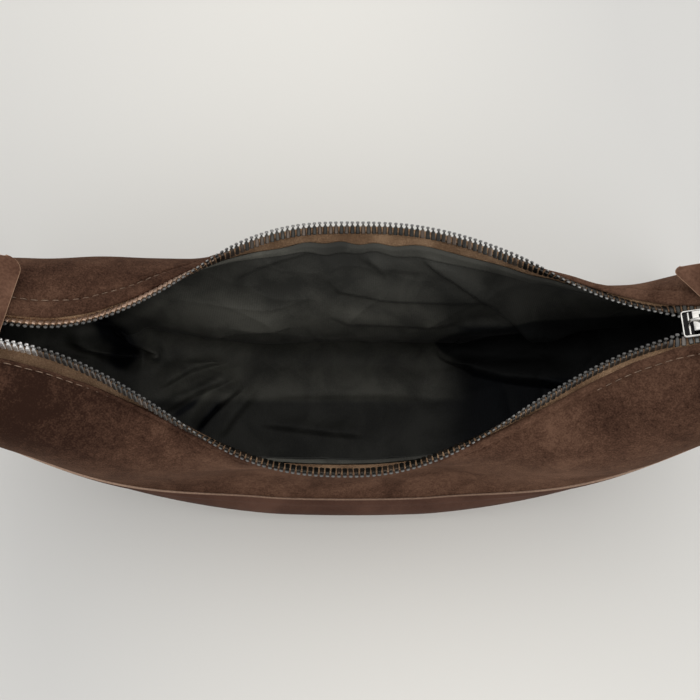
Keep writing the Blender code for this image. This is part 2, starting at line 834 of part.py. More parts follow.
tab_level = tab_height(tab_cut_x) + 0.5 * tab_thickness
for hand, name, end_x, skew in (
    (-1, "strap_tab_left", left_tab_end_x, left_tab_skew),
    (1, "strap_tab_right", right_tab_end_x, right_tab_skew),
):
    rows = []
    for n in range(13):
        row = []
        for k in range(9):
            across = tab_half_width * (k / 4.0 - 1.0)
            edge = max(abs(across) - (tab_half_width - tab_corner_radius), 0.0)
            rounding = tab_corner_radius - math.sqrt(max(tab_corner_radius**2 - edge**2, 0.0))
            begin = end_x - skew * across + rounding
            x = begin + (tab_cut_x - clearance - begin) * n / 12.0
            row.append(Vector((hand * x, tab_centre_y + across, tab_height(x))))
        rows.append(row)
    sheet_object(name, rows, tab_thickness, tab_leather, Vector((0, 0, -1)))

# Under legs of the tabs, down the outside of the gusset's ends

ring_bar = 0.5 * ring_wire
fold_radius = ring_bar + clearance + 0.5 * tab_thickness
ring_centre_x = tab_cut_x + fold_radius + ring_end_gap
ring_centre_z = tab_level - fold_radius
for hand, name in ((-1, "tab_under_left"), (1, "tab_under_right")):
    path = [
        Vector((hand * (tab_cut_x - clearance), 0.0, ring_centre_z - fold_radius)),
        Vector((hand * (tab_cut_x - clearance - 0.0018), 0.0, ring_centre_z - fold_radius)),
    ]
    for n in range(7):
        share = 1.0 - 0.006 - n * tab_under_drop / 6.0 / low_length
        x, z = on_path(low_path, share)
        nx, nz = on_path(low_path, share - 0.004)
        slope = Vector((nx - x, 0.0, nz - z)).normalized()
        away = Vector((-slope.z, 0.0, slope.x))
        spot = Vector((x, 0.0, z)) + away * (clearance + tab_under_lift + 0.5 * tab_thickness)
        path.append(Vector((hand * spot.x, 0.0, spot.z)))
    rows = []
    for spot in path:
        rows.append([spot + Vector((0.0, tab_centre_y + tab_half_width * k, 0.0)) for k in (-1.0, -0.5, 0.0, 0.5, 1.0)])
    sheet_object(name, rows, tab_thickness, tab_leather, Vector((hand, 0, 0)), centred=True)

# Tab loops, rings and strap: these swing together

for hand, name in ((-1, "tab_loop_left"), (1, "tab_loop_right")):
    path = [(tab_cut_x + clearance, tab_level)]
    for k in range(9):
        turn = math.pi * (0.5 - k / 8.0)
        path.append((ring_centre_x + fold_radius * math.cos(turn), ring_centre_z + fold_radius * math.sin(turn)))
    path.append((tab_cut_x + clearance, ring_centre_z - fold_radius))
    rows = []
    for x, z in path:
        rows.append([Vector((hand * x, tab_centre_y + tab_half_width * k, z)) for k in (-1.0, 0.0, 1.0)])
    sheet_object(name, rows, tab_thickness, tab_leather, Vector((hand, 0, 0)), centred=True)

ring_span = ring_inner_length + ring_wire
ring_fall = math.radians(ring_hang_angle)
ring_half_width = tab_half_width + ring_side_gap + ring_bar
outer_bar_x = ring_centre_x + ring_span * math.cos(ring_fall)
outer_bar_z = ring_centre_z - ring_span * math.sin(ring_fall)
for hand, name in ((-1, "ring_left"), (1, "ring_right")):
    loop = bpy.data.curves.new(name, "CURVE")
    loop.dimensions = "3D"
    loop.bevel_depth = ring_bar
    loop.bevel_resolution = 1
    line = loop.splines.new("POLY")
    line.use_cyclic_u = True
    places = []
    for quarter in range(4):
        along_side = 1.0 if quarter in (0, 3) else -1.0
        across_side = 1.0 if quarter in (0, 1) else -1.0
        for k in range(5):
            turn = 0.5 * math.pi * (quarter + k / 4.0)
            along = 0.5 * ring_span + along_side * (0.5 * ring_span - ring_corner_radius)
            along += ring_corner_radius * math.cos(turn)
            across = across_side * (ring_half_width - ring_corner_radius)
            across += ring_corner_radius * math.sin(turn)
            places.append((along, across))
    line.points.add(len(places) - 1)
    for place, (along, across) in zip(line.points, places):
        x = ring_centre_x + along * math.cos(ring_fall)
        z = ring_centre_z - along * math.sin(ring_fall)
        place.co = (hand * x, tab_centre_y + across, z, 1.0)
    loop.materials.append(metal)
    ring = bpy.data.objects.new(name, loop)
    parts.objects.link(ring)

# Strap: folded round both rings, hanging down and lying on the table behind the bag

strap_fold_radius = ring_bar + clearance + 0.5 * strap_thickness
strap_rest = 0.5 * strap_thickness + 0.0003

outer_x = outer_bar_x + strap_fold_radius
inner_x = outer_bar_x - strap_fold_radius
right_half = [Vector((inner_x, tab_centre_y, outer_bar_z - strap_fold_length))]
for k in range(7):
    turn = math.pi * (1.0 - k / 6.0)
    x = outer_bar_x + strap_fold_radius * math.cos(turn)
    z = outer_bar_z + strap_fold_radius * math.sin(turn)
    right_half.append(Vector((x, tab_centre_y, z)))
drop = outer_bar_z - strap_rest - strap_corner_radius
corner_run = 0.5 * math.pi * strap_corner_radius
fall_length = drop + corner_run
for k in range(1, 17):
    run = fall_length * k / 16.0
    turn = max(run - drop, 0.0) / strap_corner_radius
    x = outer_x - strap_corner_radius * (1.0 - math.cos(turn))
    z = outer_bar_z - min(run, drop) - strap_corner_radius * math.sin(turn)
    y = tab_centre_y + (strap_lie_y - tab_centre_y) * smooth_step(run / fall_length)
    right_half.append(Vector((x, y, z)))
floor_start = right_half[-1].x
for k in range(1, 4):
    right_half.append(Vector((floor_start * (1.0 - k / 3.0), strap_lie_y, strap_rest)))
left_half = [Vector((-point.x, point.y, point.z)) for point in right_half]
strap_line = right_half + list(reversed(left_half[:-1]))
strap_length = sum((b - a).length for a, b in zip(strap_line, strap_line[1:]))
print("strap length:", round(strap_length, 4))

rows = []
for n, point in enumerate(strap_line):
    before = strap_line[max(n - 1, 0)]
    after = strap_line[min(n + 1, len(strap_line) - 1)]
    tangent = (after - before).normalized()
    across = Vector((0, 1, 0)) - tangent * tangent.y
    across.normalize()
    rows.append([point + across * strap_half_width * k for k in (-1.0, 1.0)])
sheet_object("strap", rows, strap_thickness, tab_leather, Vector((0, 0, 1)), centred=True)
strap_pivot = Vector((0.0, tab_centre_y, 0.5 * (tab_level + ring_centre_z - fold_radius)))
print("strap pivot:", tuple(round(v, 5) for v in strap_pivot))


def carried_by(name, place, pieces):
    """Parent the pieces of a moving body to an empty on its joint's axis, where they stay in place."""
    pivot = bpy.data.objects.new(name, None)
    pivot.location = place
    parts.objects.link(pivot)
    for piece_name in pieces:
        piece = bpy.data.objects[piece_name]
        piece.parent = pivot
        piece.matrix_parent_inverse = Matrix.Translation(place).inverted()


carried_by("slider_pivot", path_centre, ("slider_body", "slider_bail"))
carried_by("strap_pivot", strap_pivot, ("strap", "ring_left", "ring_right", "tab_loop_left", "tab_loop_right"))

for piece in parts.objects:
    if piece.type == "MESH" and piece.name.startswith(("gusset", "front_panel", "back_panel", "lining", "strap")):
        piece.data.shade_smooth()
        piece.data.set_sharp_from_angle(angle=math.radians(40.0))
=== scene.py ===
"""The looks of a soft suede crescent shoulder bag that stands open on a pale table."""

import math

import bmesh
import bpy
import numpy as np
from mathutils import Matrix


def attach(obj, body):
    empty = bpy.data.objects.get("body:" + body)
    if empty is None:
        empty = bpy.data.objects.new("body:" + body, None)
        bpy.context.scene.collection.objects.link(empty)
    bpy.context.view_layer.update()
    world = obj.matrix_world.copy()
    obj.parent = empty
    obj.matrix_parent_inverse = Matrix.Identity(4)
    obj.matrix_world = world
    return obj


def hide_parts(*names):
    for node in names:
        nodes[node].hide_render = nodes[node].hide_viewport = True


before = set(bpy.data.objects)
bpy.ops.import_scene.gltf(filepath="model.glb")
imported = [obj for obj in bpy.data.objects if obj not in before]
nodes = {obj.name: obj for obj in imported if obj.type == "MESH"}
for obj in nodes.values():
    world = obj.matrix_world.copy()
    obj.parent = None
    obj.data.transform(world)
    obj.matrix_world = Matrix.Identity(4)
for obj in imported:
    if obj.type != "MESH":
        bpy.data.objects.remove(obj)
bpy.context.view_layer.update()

# The view: a pale table top seen from just in front of the bag and half a metre above it. A broad
# soft lamp hangs over the back of the bag, so its faint shadow falls towards the viewer, and the
# wall at the front's right gives some of that light back.
view_place = np.array([0.0, -0.137, 0.524])
view_elevation = math.radians(70.0)
photo_width = 700.0
photo_focal = 845.0
sensor_width = 36.0

camera_data = bpy.data.cameras.new("view")
camera_data.sensor_width = sensor_width
camera_data.lens = sensor_width * photo_focal / photo_width
camera = bpy.data.objects.new("view", camera_data)
camera.location = view_place
camera.rotation_euler = (0.5 * math.pi - view_elevation, 0.0, 0.0)
bpy.context.scene.collection.objects.link(camera)
bpy.context.scene.camera = camera
bpy.context.scene.view_settings.view_transform = "Standard"


def node(tree, kind, sockets=None, **settings):
    """Add a shader node, set its properties, and set or link its sockets."""
    made = tree.nodes.new(kind)
    for label, value in settings.items():
        setattr(made, label, value)
    for label, value in (sockets or {}).items():
        if isinstance(value, bpy.types.NodeSocket):
            tree.links.new(value, made.inputs[label])
        else:
            made.inputs[label].default_value = value
    return made


def maths(tree, operation, *values):
    """One step of arithmetic on sockets or numbers."""
    return node(tree, "ShaderNodeMath", dict(enumerate(values)), operation=operation).outputs[0]


def mixed(tree, share, first, second):
    """The first colour where the share is 0 and the second where it is 1."""
    sockets = {"Fac": share, "Color1": first, "Color2": second}
    return node(tree, "ShaderNodeMixRGB", sockets).outputs["Color"]


def marked(tree, label):
    """Values of a mark on the mesh. A piece without the mark gives 0."""
    return node(tree, "ShaderNodeAttribute", attribute_name=label).outputs["Fac"]


def blank_finish(name):
    """A new material, the tree that its nodes go into, and its shader."""
    material = bpy.data.materials.new(name)
    material.use_nodes = True
    tree = material.node_tree
    shader = tree.nodes["Principled BSDF"]
    return material, tree, shader


def coated(tree, shader, colour, values):
    """Link the colour, and set what is the same all over on the shader's own sockets."""
    tree.links.new(colour, shader.inputs["Base Color"])
    for label, value in values.items():
        shader.inputs[label].default_value = value


def tones(tree, value, stops):
    """Colour ramp over a value: each stop is a place from 0 to 1 and a colour."""
    ramp = tree.nodes.new("ShaderNodeValToRGB")
    elements = ramp.color_ramp.elements
    elements[0].position, elements[0].color = stops[0][0], (*stops[0][1], 1.0)
    elements[1].position, elements[1].color = stops[-1][0], (*stops[-1][1], 1.0)
    for place, colour in stops[1:-1]:
        elements.new(place).color = (*colour, 1.0)
    tree.links.new(value, ramp.inputs["Fac"])
    return ramp.outputs["Color"]


def mottle(tree, place, scale, detail=3.0, roughness=0.55, distortion=0.0):
    """Noise on a coordinate: scale is in patches to the metre."""
    sockets = {"Vector": place, "Scale": scale, "Detail": detail}
    sockets.update({"Roughness": roughness, "Distortion": distortion})
    return node(tree, "ShaderNodeTexNoise", sockets).outputs["Fac"]


def sums(tree, *pairs):
    """Weighted sum of values: each pair is a socket and its weight."""
    total = 0.0
    for value, weight in pairs:
        total = maths(tree, "MULTIPLY_ADD", value, weight, total)
    return total


def object_place(tree):
    """Object coordinates, in metres."""
    return node(tree, "ShaderNodeTexCoord").outputs["Object"]


def bumped(tree, shader, height, distance, strength=1.0):
    """Let a height in metres times a distance tilt the shader's normal."""
    sockets = {"Height": height, "Distance": distance, "Strength": strength}
    tree.links.new(node(tree, "ShaderNodeBump", sockets).outputs["Normal"], shader.inputs["Normal"])


# Painted light and shade on the table: its colour runs from a shaded tone to a lit one.
table_lit_colour = (0.815, 0.792, 0.738)
table_shaded_colour = (0.620, 0.612, 0.590)
table_half_size = 3.0
table_patch = 0.25

# Painted light and shade on the table: the tone in the middle, its share of clouds, and how the painted
# light changes by the metre towards the back and the right, and by the square metre towards the sides
# and the corners.
table_tone = 0.46
table_cloud_share = 0.12
table_to_back = 0.25
table_to_right = 0.40
table_to_sides = -13.0
table_to_corners = -7.0


def levelled(tree, value):
    """A coordinate that stops growing away from the bag: it is r tanh(v / r), r the patch's half size."""
    share = maths(tree, "TANH", maths(tree, "DIVIDE", value, table_patch))
    return maths(tree, "MULTIPLY", share, table_patch)


def table_finish():
    """Matt off-white table top with painted light, palest in the middle, and painted shade, cooler, towards
    its sides.

    The tone is a + b y + x (c + d x + e y) and faint clouds, on coordinates that level off.
    """
    material, tree, shader = blank_finish("table_top")
    place = object_place(tree)
    clouds = mottle(tree, place, 2.2, 2.0)
    parts = node(tree, "ShaderNodeSeparateXYZ", {"Vector": place}).outputs
    x, y = (levelled(tree, parts[axis]) for axis in "XY")
    lean = maths(tree, "MULTIPLY_ADD", y, table_to_corners, table_to_right)
    lean = maths(tree, "MULTIPLY_ADD", x, table_to_sides, lean)
    aside = maths(tree, "MULTIPLY", x, lean)
    tone = sums(tree, (clouds, table_cloud_share), (aside, 1.0), (y, table_to_back))
    tone = maths(tree, "ADD", tone, table_tone)
    colour = tones(tree, tone, [(0.0, table_shaded_colour), (1.0, table_lit_colour)])
    coated(tree, shader, colour, {"Roughness": 0.85, "Specular IOR Level": 0.15})
    return material


corner_signs = ((-1, -1), (1, -1), (1, 1), (-1, 1))
table_corners = [(a * table_half_size, b * table_half_size, 0.0) for a, b in corner_signs]
table_mesh = bpy.data.meshes.new("table_top")
table_mesh.from_pydata(table_corners, [], [(0, 1, 2, 3)])
table_mesh.materials.append(table_finish())
table_top = bpy.data.objects.new("table_top", table_mesh)
bpy.context.scene.collection.objects.link(table_top)


def hang_lamp(name, size, energy, colour, place, turns):
    """A round area lamp: its diameter, power, colour, place and turns in degrees."""
    light = bpy.data.lights.new(name, "AREA")
    light.shape = "DISK"
    light.size = size
    light.energy = energy
    light.color = colour
    lamp = bpy.data.objects.new(name, light)
    lamp.location = place
    lamp.rotation_euler = tuple(math.radians(turn) for turn in turns)
    bpy.context.scene.collection.objects.link(lamp)


hang_lamp("window_lamp", 1.6, 6.2, (1.0, 0.985, 0.955), (0.02, 0.42, 1.40), (-16.0, 0.0, 0.0))
hang_lamp("wall_bounce", 1.8, 13.6, (1.0, 0.985, 0.965), (0.97, -1.49, 1.16), (57.0, 0.0, 33.0))

room_light = (0.985, 0.99, 1.0, 1.0)
room_strength = 0.81
room = bpy.data.worlds.new("room")
room.use_nodes = True
room.node_tree.nodes["Background"].inputs["Color"].default_value = room_light
room.node_tree.nodes["Background"].inputs["Strength"].default_value = room_strength
bpy.context.scene.world = room

# Front and back panels: one piece of dark brown suede each, cut as a crescent, turned over
# along the zip and topstitched. Their upper edges hang open and their lower edges go into
# the seams with the gusset, so the whole skin of the bag is laid out on the same ribs.
outline_half_length = 0.203
outline_end_height = 0.160
outline_power = 1.8
bottom_pressed_flat = 0.0065
mouth_middle_height = 0.126
mouth_bend_half_length = 0.148
mouth_bend_slope = 0.56
mouth_level_half_length = 0.182
top_half_length = 0.201
gusset_half_width = 0.0578
gusset_end_half_width = 0.0270
gusset_corner_width = 0.0200
seam_height = 0.037
seam_end_height = 0.0060
seam_angle_middle = math.radians(135.0)
seam_angle_end = math.radians(62.0)
gusset_width_power = 1.2
gusset_corner_most = 0.8
seam_height_power = 1.4
seam_turn_from = 0.18
seam_turn_run = 0.62
mouth_half_length = 0.163
zip_half_length = 0.168
row_end_half_gap = 0.0056

# A side is -1 for the front and 1 for the back, and an end -1 for the left and 1 for the right. The
# tables have a side, or a side and an end, as their keys.
row_middle_reach = {-1: 0.0546, 1: 0.0768}
row_curves = {(-1, -1): (2.6, 3.25), (-1, 1): (2.2, 2.85), (1, -1): (2.6, 3.44), (1, 1): (2.4, 2.13)}
tape_turn_curves = {(-1, -1): (6.0, 100.0), (-1, 1): (6.0, 120.0), (1, -1): (6.0, 108.0), (1, 1): (9.0, 95.0)}
edge_turn_curves = {(-1, -1): (3.0, 1.6), (-1, 1): (2.2, 2.4), (1, -1): (2.5, 3.0), (1, 1): (3.0, 2.4)}
panel_turn_curves = {(-1, -1): (1.8, 4.0), (-1, 1): (1.8, 4.0), (1, -1): (1.8, 4.0), (1, 1): (3.0, 2.4)}
right_end_offset = 0.0035
front_fullness = 0.53
front_spread_run = 0.75
front_slimming = ((1, 0.32, 0.62, 0.30), (-1, 0.25, 0.70, 0.25))
back_left_fullness = 0.64
back_left_spread_run = 0.65
back_right_fullness = 0.42
back_right_spread_from = 0.55
back_right_spread_run = 0.35
seam_pull = 0.26
seam_pull_spread = 0.10
edge_pull = 0.12
past_zip_closing = 3.0
tape_angle_ends = {(-1, -1): 64.0, (-1, 1): 64.0, (1, -1): 35.0, (1, 1): 45.0}
panel_angle_ends = dict.fromkeys(tape_angle_ends, 1.0)
tape_angle_middles = {-1: 134.0, 1: 145.0}
panel_angle_middles = {-1: 130.0, 1: 130.0}
tape_turn = (tape_turn_curves, tape_angle_ends, tape_angle_middles)
edge_turn = (edge_turn_curves, panel_angle_ends, panel_angle_middles)
panel_turn = (panel_turn_curves, panel_angle_ends, panel_angle_middles)
tape_level_from = 0.1400
tape_level_run = 0.0140
panel_thickness = 0.0014
tape_thickness = 0.0008
tape_clearance = 0.0006
clearance = 0.0003
seam_gap = 0.0006
tape_shown = 0.0020
edge_drop = 0.0030
edge_drop_more = {-1: (0.0040, 0.0012), 1: (0.0, 0.0)}
edge_drop_from = 0.045
edge_drop_run = 0.055
flat_share = 0.4


def smooth_step(value):
    """Ease from 0 to 1: a value v, kept between 0 and 1, gives v v (3 - 2 v)."""
    value = np.clip(value, 0.0, 1.0)
    return value * value * (3.0 - 2.0 * value)


def eased_steps(place, steps):
    """Sum of eased steps: each has an end it is at, a height, the distance where it starts and its run."""
    return sum(height * smooth_step((end * place - start) / run) for end, height, start, run in steps)


def unit(vectors):
    """Vectors of length 1 in the same directions."""
    return vectors / np.maximum(np.linalg.norm(vectors, axis=-1, keepdims=True), 1e-12)


def top_height(x):
    """Height of the zip line at x: a parabola that eases to level over the bag's ends."""
    distance = np.minimum(np.abs(x), mouth_level_half_length)
    inner = np.minimum(distance, mouth_bend_half_length)
    past = distance - inner
    ease = 1.0 - 0.5 * past / (mouth_level_half_length - mouth_bend_half_length)
    rise = 0.5 * mouth_bend_slope * inner**2 / mouth_bend_half_length
    return mouth_middle_height + rise + mouth_bend_slope * past * ease


def even_path(xs, zs):
    """Shares of a path's length at which its points lie, the points, and the whole length."""
    lengths = np.concatenate([[0.0], np.cumsum(np.hypot(np.diff(xs), np.diff(zs)))])
    return lengths / lengths[-1], xs, zs, lengths[-1]


quarter_turn = np.linspace(0.0, 0.5 * math.pi, 600)
low_depth = outline_end_height + bottom_pressed_flat
low_plain = outline_end_height - low_depth * np.cos(quarter_turn) ** (2.0 / outline_power)
low_easing = 0.0012
low_path = even_path(
    outline_half_length * np.sin(quarter_turn) ** (2.0 / outline_power),
    0.5 * (low_plain + np.sqrt(low_plain**2 + low_easing**2)),
)
top_xs = np.linspace(0.0, top_half_length, 400)
top_path = even_path(top_xs, top_height(top_xs))


def on_path(path, share):
    """x and z at a signed share of the way from the middle to the end."""
    x = np.interp(np.abs(share), path[0], path[1])
    return np.copysign(x, share), np.interp(np.abs(share), path[0], path[2])


def row_reach(side, x):
    """Distance of a row of teeth from the centre line: (1 - t^a)^b, t the share of the way to its end."""
    t = np.minimum(np.abs(x) / mouth_half_length, 1.0)
    left, right = (((1.0 - t**a) ** b) for a, b in (row_curves[(side, -1)], row_curves[(side, 1)]))
    return row_end_half_gap + (row_middle_reach[side] - row_end_half_gap) * np.where(x < 0.0, left, right)


def centre_y(x):
    """Place of the zip's centre line: it drifts back towards the right end."""
    return right_end_offset * smooth_step(x / mouth_half_length)


def row_frame(side, x, turn=tape_turn):
    """Edge of the tape, the way its teeth point, and the way square to the tape and outwards.

    From its angle at the ends, t = 1, the tape turns right over in the middle, by (1 - t^a)^b. It is
    level where it runs into the slider.
    """
    x = np.asarray(x, dtype=float)
    curves, end_angles, middle_angles = turn
    t = np.minimum(np.abs(x) / mouth_half_length, 1.0)
    (left, left_sharp), (right, right_sharp) = curves[(side, -1)], curves[(side, 1)]
    turned = np.where(x < 0.0, (1.0 - t**left) ** left_sharp, (1.0 - t**right) ** right_sharp)
    level = 1.0 - smooth_step((x - tape_level_from) / tape_level_run)
    ends = np.where(x < 0.0, end_angles[(side, -1)], end_angles[(side, 1)] * level)
    angle = np.radians(ends + (middle_angles[side] - ends) * turned)
    point = np.stack([x, centre_y(x) + side * row_reach(side, x), top_height(x)], axis=-1)
    direction = np.stack([0.0 * x, -side * np.cos(angle), np.sin(angle)], axis=-1)
    outward = np.stack([0.0 * x, side * np.sin(angle), np.cos(angle)], axis=-1)
    return point, direction, outward


def edge_drop_at(side, x):
    """How far the suede's edge stays from the teeth: the front's two ends show more of the tape."""
    left, right = edge_drop_more[side]
    more = np.where(x < 0.0, left, right) * smooth_step((np.abs(x) - edge_drop_from) / edge_drop_run)
    return edge_drop + more


def panel_edge(side, share):
    """Upper edge of a panel on its outer face. Past the zip the two panels nearly meet."""
    x = on_path(top_path, share)[0]
    held = np.clip(x, -zip_half_length, zip_half_length)
    point, direction, outward = row_frame(side, held, edge_turn)
    point = point - direction * edge_drop_at(side, held)[..., None]
    point = point + outward * (panel_thickness + tape_clearance + 0.5 * tape_thickness)
    past = smooth_step((np.abs(x) - zip_half_length) / (top_half_length - zip_half_length) * past_zip_closing)
    y = point[..., 1] * (1.0 - past) + (centre_y(x) + side * seam_gap) * past
    return np.stack([x, y, point[..., 2] + top_height(x) - top_height(held)], axis=-1)


def rib(share):
    """Sizes of one rib: foot, direction up, half width, rise of the corner's arc and its angle."""
    gx, gz = on_path(low_path, share)
    tx, tz = on_path(top_path, share)
    foot = np.stack([gx, 0.0 * gx, gz], axis=-1)
    up = unit(np.stack([tx - gx, 0.0 * gx, tz - gz], axis=-1))
    reach = np.abs(share)
    widening = (1.0 - reach**2) ** gusset_width_power
    half_width = gusset_end_half_width + (gusset_half_width - gusset_end_half_width) * widening
    seam = seam_end_height + (seam_height - seam_end_height) * (1.0 - reach**2) ** seam_height_power
    turned = smooth_step((reach - seam_turn_from) / seam_turn_run)
    angle = seam_angle_middle + (seam_angle_end - seam_angle_middle) * turned
    return foot, up, half_width, seam / (1.0 - np.cos(angle)), angle


def gusset_face(side, share, along):
    """Outer face of the gusset: a flat run, then an arc that turns by the seam's angle."""
    share, along = np.broadcast_arrays(np.asarray(share, float), np.asarray(along, float))
    foot, up, half_width, rise, angle = rib(share)
    corner = np.minimum(gusset_corner_width, gusset_corner_most * half_width)
    turned = angle * np.maximum(along - flat_share, 0.0) / (1.0 - flat_share)
    out = (half_width - corner) * np.minimum(along / flat_share, 1.0) + corner * np.sin(turned)
    sideways = np.stack([0.0 * out, side * out, 0.0 * out], axis=-1)
    return foot + sideways + up * (rise * (1.0 - np.cos(turned)))[..., None]


def panel_face(side, share, along):
    """Outer face of a panel: a cubic curve from the gusset's seam to the panel's upper edge."""
    share, along = np.broadcast_arrays(np.asarray(share, float), np.asarray(along, float))
    foot, up, half_width, rise, angle = rib(share)
    corner = np.minimum(gusset_corner_width, gusset_corner_most * half_width)
    start = gusset_face(side, share, 1.0)
    flat = side * corner * np.cos(angle)
    leaving = unit(np.stack([0.0 * flat, flat, 0.0 * flat], axis=-1) + up * (rise * np.sin(angle))[..., None])
    end = panel_edge(side, share)
    span = np.linalg.norm(end - start, axis=-1)
    held = np.clip(end[..., 0], -zip_half_length, zip_half_length)
    arriving = row_frame(side, held, panel_turn)[1]
    if side < 0:
        spread = smooth_step(np.abs(share) / front_spread_run)
        fullness = front_fullness * (1.0 - eased_steps(share, front_slimming))
    else:
        right = share > 0.0
        right_spread = smooth_step((share - back_right_spread_from) / back_right_spread_run)
        spread = np.where(right, right_spread, smooth_step(np.abs(share) / back_left_spread_run))
        fullness = np.where(right, back_right_fullness, back_left_fullness)
    first = start + leaving * (span * (seam_pull + seam_pull_spread * spread))[..., None]
    last = end - arriving * (span * (edge_pull + fullness * spread))[..., None]
    t = along[..., None]
    return start * (1 - t) ** 3 + first * 3 * t * (1 - t) ** 2 + last * 3 * t**2 * (1 - t) + end * t**3


def outward_of(side, grid):
    """Directions square to a grid of points and away from the bag: rows run along it, columns up it."""
    normal = unit(np.cross(np.gradient(grid, axis=0), np.gradient(grid, axis=1)))
    return -side * normal


def laid_on_panel(side, shares, distances):
    """Points on a panel's ribs at distances from its upper edge, and the way outwards at each point."""
    samples = np.linspace(1.0, 0.0, 90)
    ribs = panel_face(side, shares[:, None], samples[None, :])
    lengths = np.cumsum(np.linalg.norm(np.diff(ribs, axis=1), axis=-1), axis=1)
    lengths = np.concatenate([np.zeros((len(shares), 1)), lengths], axis=1)
    steps = [np.interp(wanted, have, samples) for wanted, have in zip(distances, lengths)]
    grid = panel_face(side, shares[:, None], np.array(steps))
    return grid, outward_of(side, grid)


def rib_length(side, shares):
    """Length of each of the panel's ribs, from its seam to its upper edge."""
    ribs = panel_face(side, shares[:, None], np.linspace(0.0, 1.0, 60)[None, :])
    return np.linalg.norm(np.diff(ribs, axis=1), axis=-1).sum(axis=1)


def seen_at(points):
    """Pixel of the view at which each point shows: the camera's own perspective."""
    away = points - view_place
    cosine, sine = math.cos(view_elevation), math.sin(view_elevation)
    depth = cosine * away[..., 1] - sine * away[..., 2]
    up = sine * away[..., 1] + cosine * away[..., 2]
    across = 0.5 * photo_width + photo_focal * away[..., 0] / depth
    return np.stack([across, 0.5 * photo_width - photo_focal * up / depth], axis=-1)


def fold_height(pixels, line, widths):
    """Height from 0 to 1 of a fold along a line of pixels.

    The fold is a bell over the distance from the line, with its own width on either side, and it
    fades out over the last quarter of the line at both ends.
    """
    line = np.array(line, dtype=float)
    steps = np.diff(line, axis=0)
    sizes = np.hypot(steps[:, 0], steps[:, 1])
    starts = np.concatenate([[0.0], np.cumsum(sizes)[:-1]])
    best = np.full(pixels.shape[:-1], 1e9)
    height = np.zeros(pixels.shape[:-1])
    for corner, step, size, start in zip(line, steps, sizes, starts):
        away = pixels - corner
        share = np.clip((away @ step) / size**2, 0.0, 1.0)
        near = np.linalg.norm(away - share[..., None] * step, axis=-1)
        right_hand = (step[0] * away[..., 1] - step[1] * away[..., 0]) > 0.0
        width = np.where(right_hand, widths[1], widths[0])
        place = (start + share * size) / sizes.sum()
        fade = smooth_step(4.0 * place) * smooth_step(4.0 * (1.0 - place))
        bell = np.exp(-((near / width) ** 2)) * fade
        height = np.where(near < best, bell, height)
        best = np.minimum(best, near)
    return height


def folds(pixels, lines):
    """Sum of folds: each has a line of pixels, its widths at the left and right hand, and its height."""
    return sum(height * fold_height(pixels, line, widths) for line, widths, height in lines)


def bells(pixels, spots):
    """Sum of bells h exp(-r r): each has a pixel, its reach across and down it, and its height h."""
    total = np.zeros(pixels.shape[:-1])
    for middle, reach, height in spots:
        away = (pixels - np.array(middle)) / np.array(reach)
        total = total + height * np.exp(-np.sum(away**2, axis=-1))
    return total


def new_piece(name, points, faces, material, uv=None, marks=None, smooth=True):
    """Put points and faces into a mesh, with a place on the pattern and marks for each point."""
    mesh = bpy.data.meshes.new(name)
    mesh.from_pydata(np.asarray(points).reshape(-1, 3).tolist(), [], [tuple(face) for face in faces])
    mesh.polygons.foreach_set("use_smooth", np.full(len(mesh.polygons), smooth))
    if uv is not None:
        corners = np.empty(len(mesh.loops), dtype=np.int32)
        mesh.loops.foreach_get("vertex_index", corners)
        layer = mesh.uv_layers.new(name="pattern")
        layer.data.foreach_set("uv", np.asarray(uv, dtype=np.float32).reshape(-1, 2)[corners].ravel())
    for label, values in (marks or {}).items():
        mark = mesh.attributes.new(label, "FLOAT", "POINT")
        mark.data.foreach_set("value", np.asarray(values, dtype=np.float32).ravel())
    mesh.materials.append(material)
    mesh.update()
    piece = bpy.data.objects.new(name, mesh)
    bpy.context.scene.collection.objects.link(piece)
    return piece


def grid_faces(rows, columns, closed=False, turned=False):
    """Four-cornered faces between the rows and columns of a grid, closed round its columns or not."""
    i, j = np.meshgrid(np.arange(rows - 1), np.arange(columns if closed else columns - 1), indexing="ij")
    after = (j + 1) % columns
    low, high = i * columns, (i + 1) * columns
    faces = np.stack([low + j, low + after, high + after, high + j], axis=-1).reshape(-1, 4)
    return faces[:, ::-1] if turned else faces


def closed_sheet(outer, inner, round_steps):
    """Join a sheet's two faces into loops of columns, with a half-round edge along each long side.

    An edge runs a half circle whose diameter is the sheet's thickness there.
    """
    turns = np.linspace(0.0, math.pi, round_steps + 1)[1:-1]

    def half_round(one, other, before):
        """Columns of the edge from one face to the other, past the column before it."""
        middle = 0.5 * (one + other)
        radius = 0.5 * (one - other)
        tip = unit(one - before) * np.linalg.norm(radius, axis=-1, keepdims=True)
        arcs = [middle + radius * math.cos(turn) + tip * math.sin(turn) for turn in turns]
        return np.stack(arcs, axis=1)

    upper = half_round(outer[:, -1], inner[:, -1], outer[:, -2])
    lower = half_round(inner[:, 0], outer[:, 0], inner[:, 1])
    return np.concatenate([outer, upper, inner[:, ::-1], lower], axis=1)


def loop_faces(rows, columns, turned):
    """Faces of a closed loft of loops, with one face over each end."""
    faces = [tuple(face) for face in grid_faces(rows, columns, closed=True, turned=turned).tolist()]
    first = tuple(range(columns))
    last = tuple((rows - 1) * columns + k for k in range(columns))
    return faces + [first if turned else first[::-1], last[::-1] if turned else last]


def dress(piece, body, slot, *replaced):
    """Say what a piece moves with and hide the solids that it stands for. The slot is not used."""
    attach(piece, body)
    if replaced:
        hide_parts(*replaced)


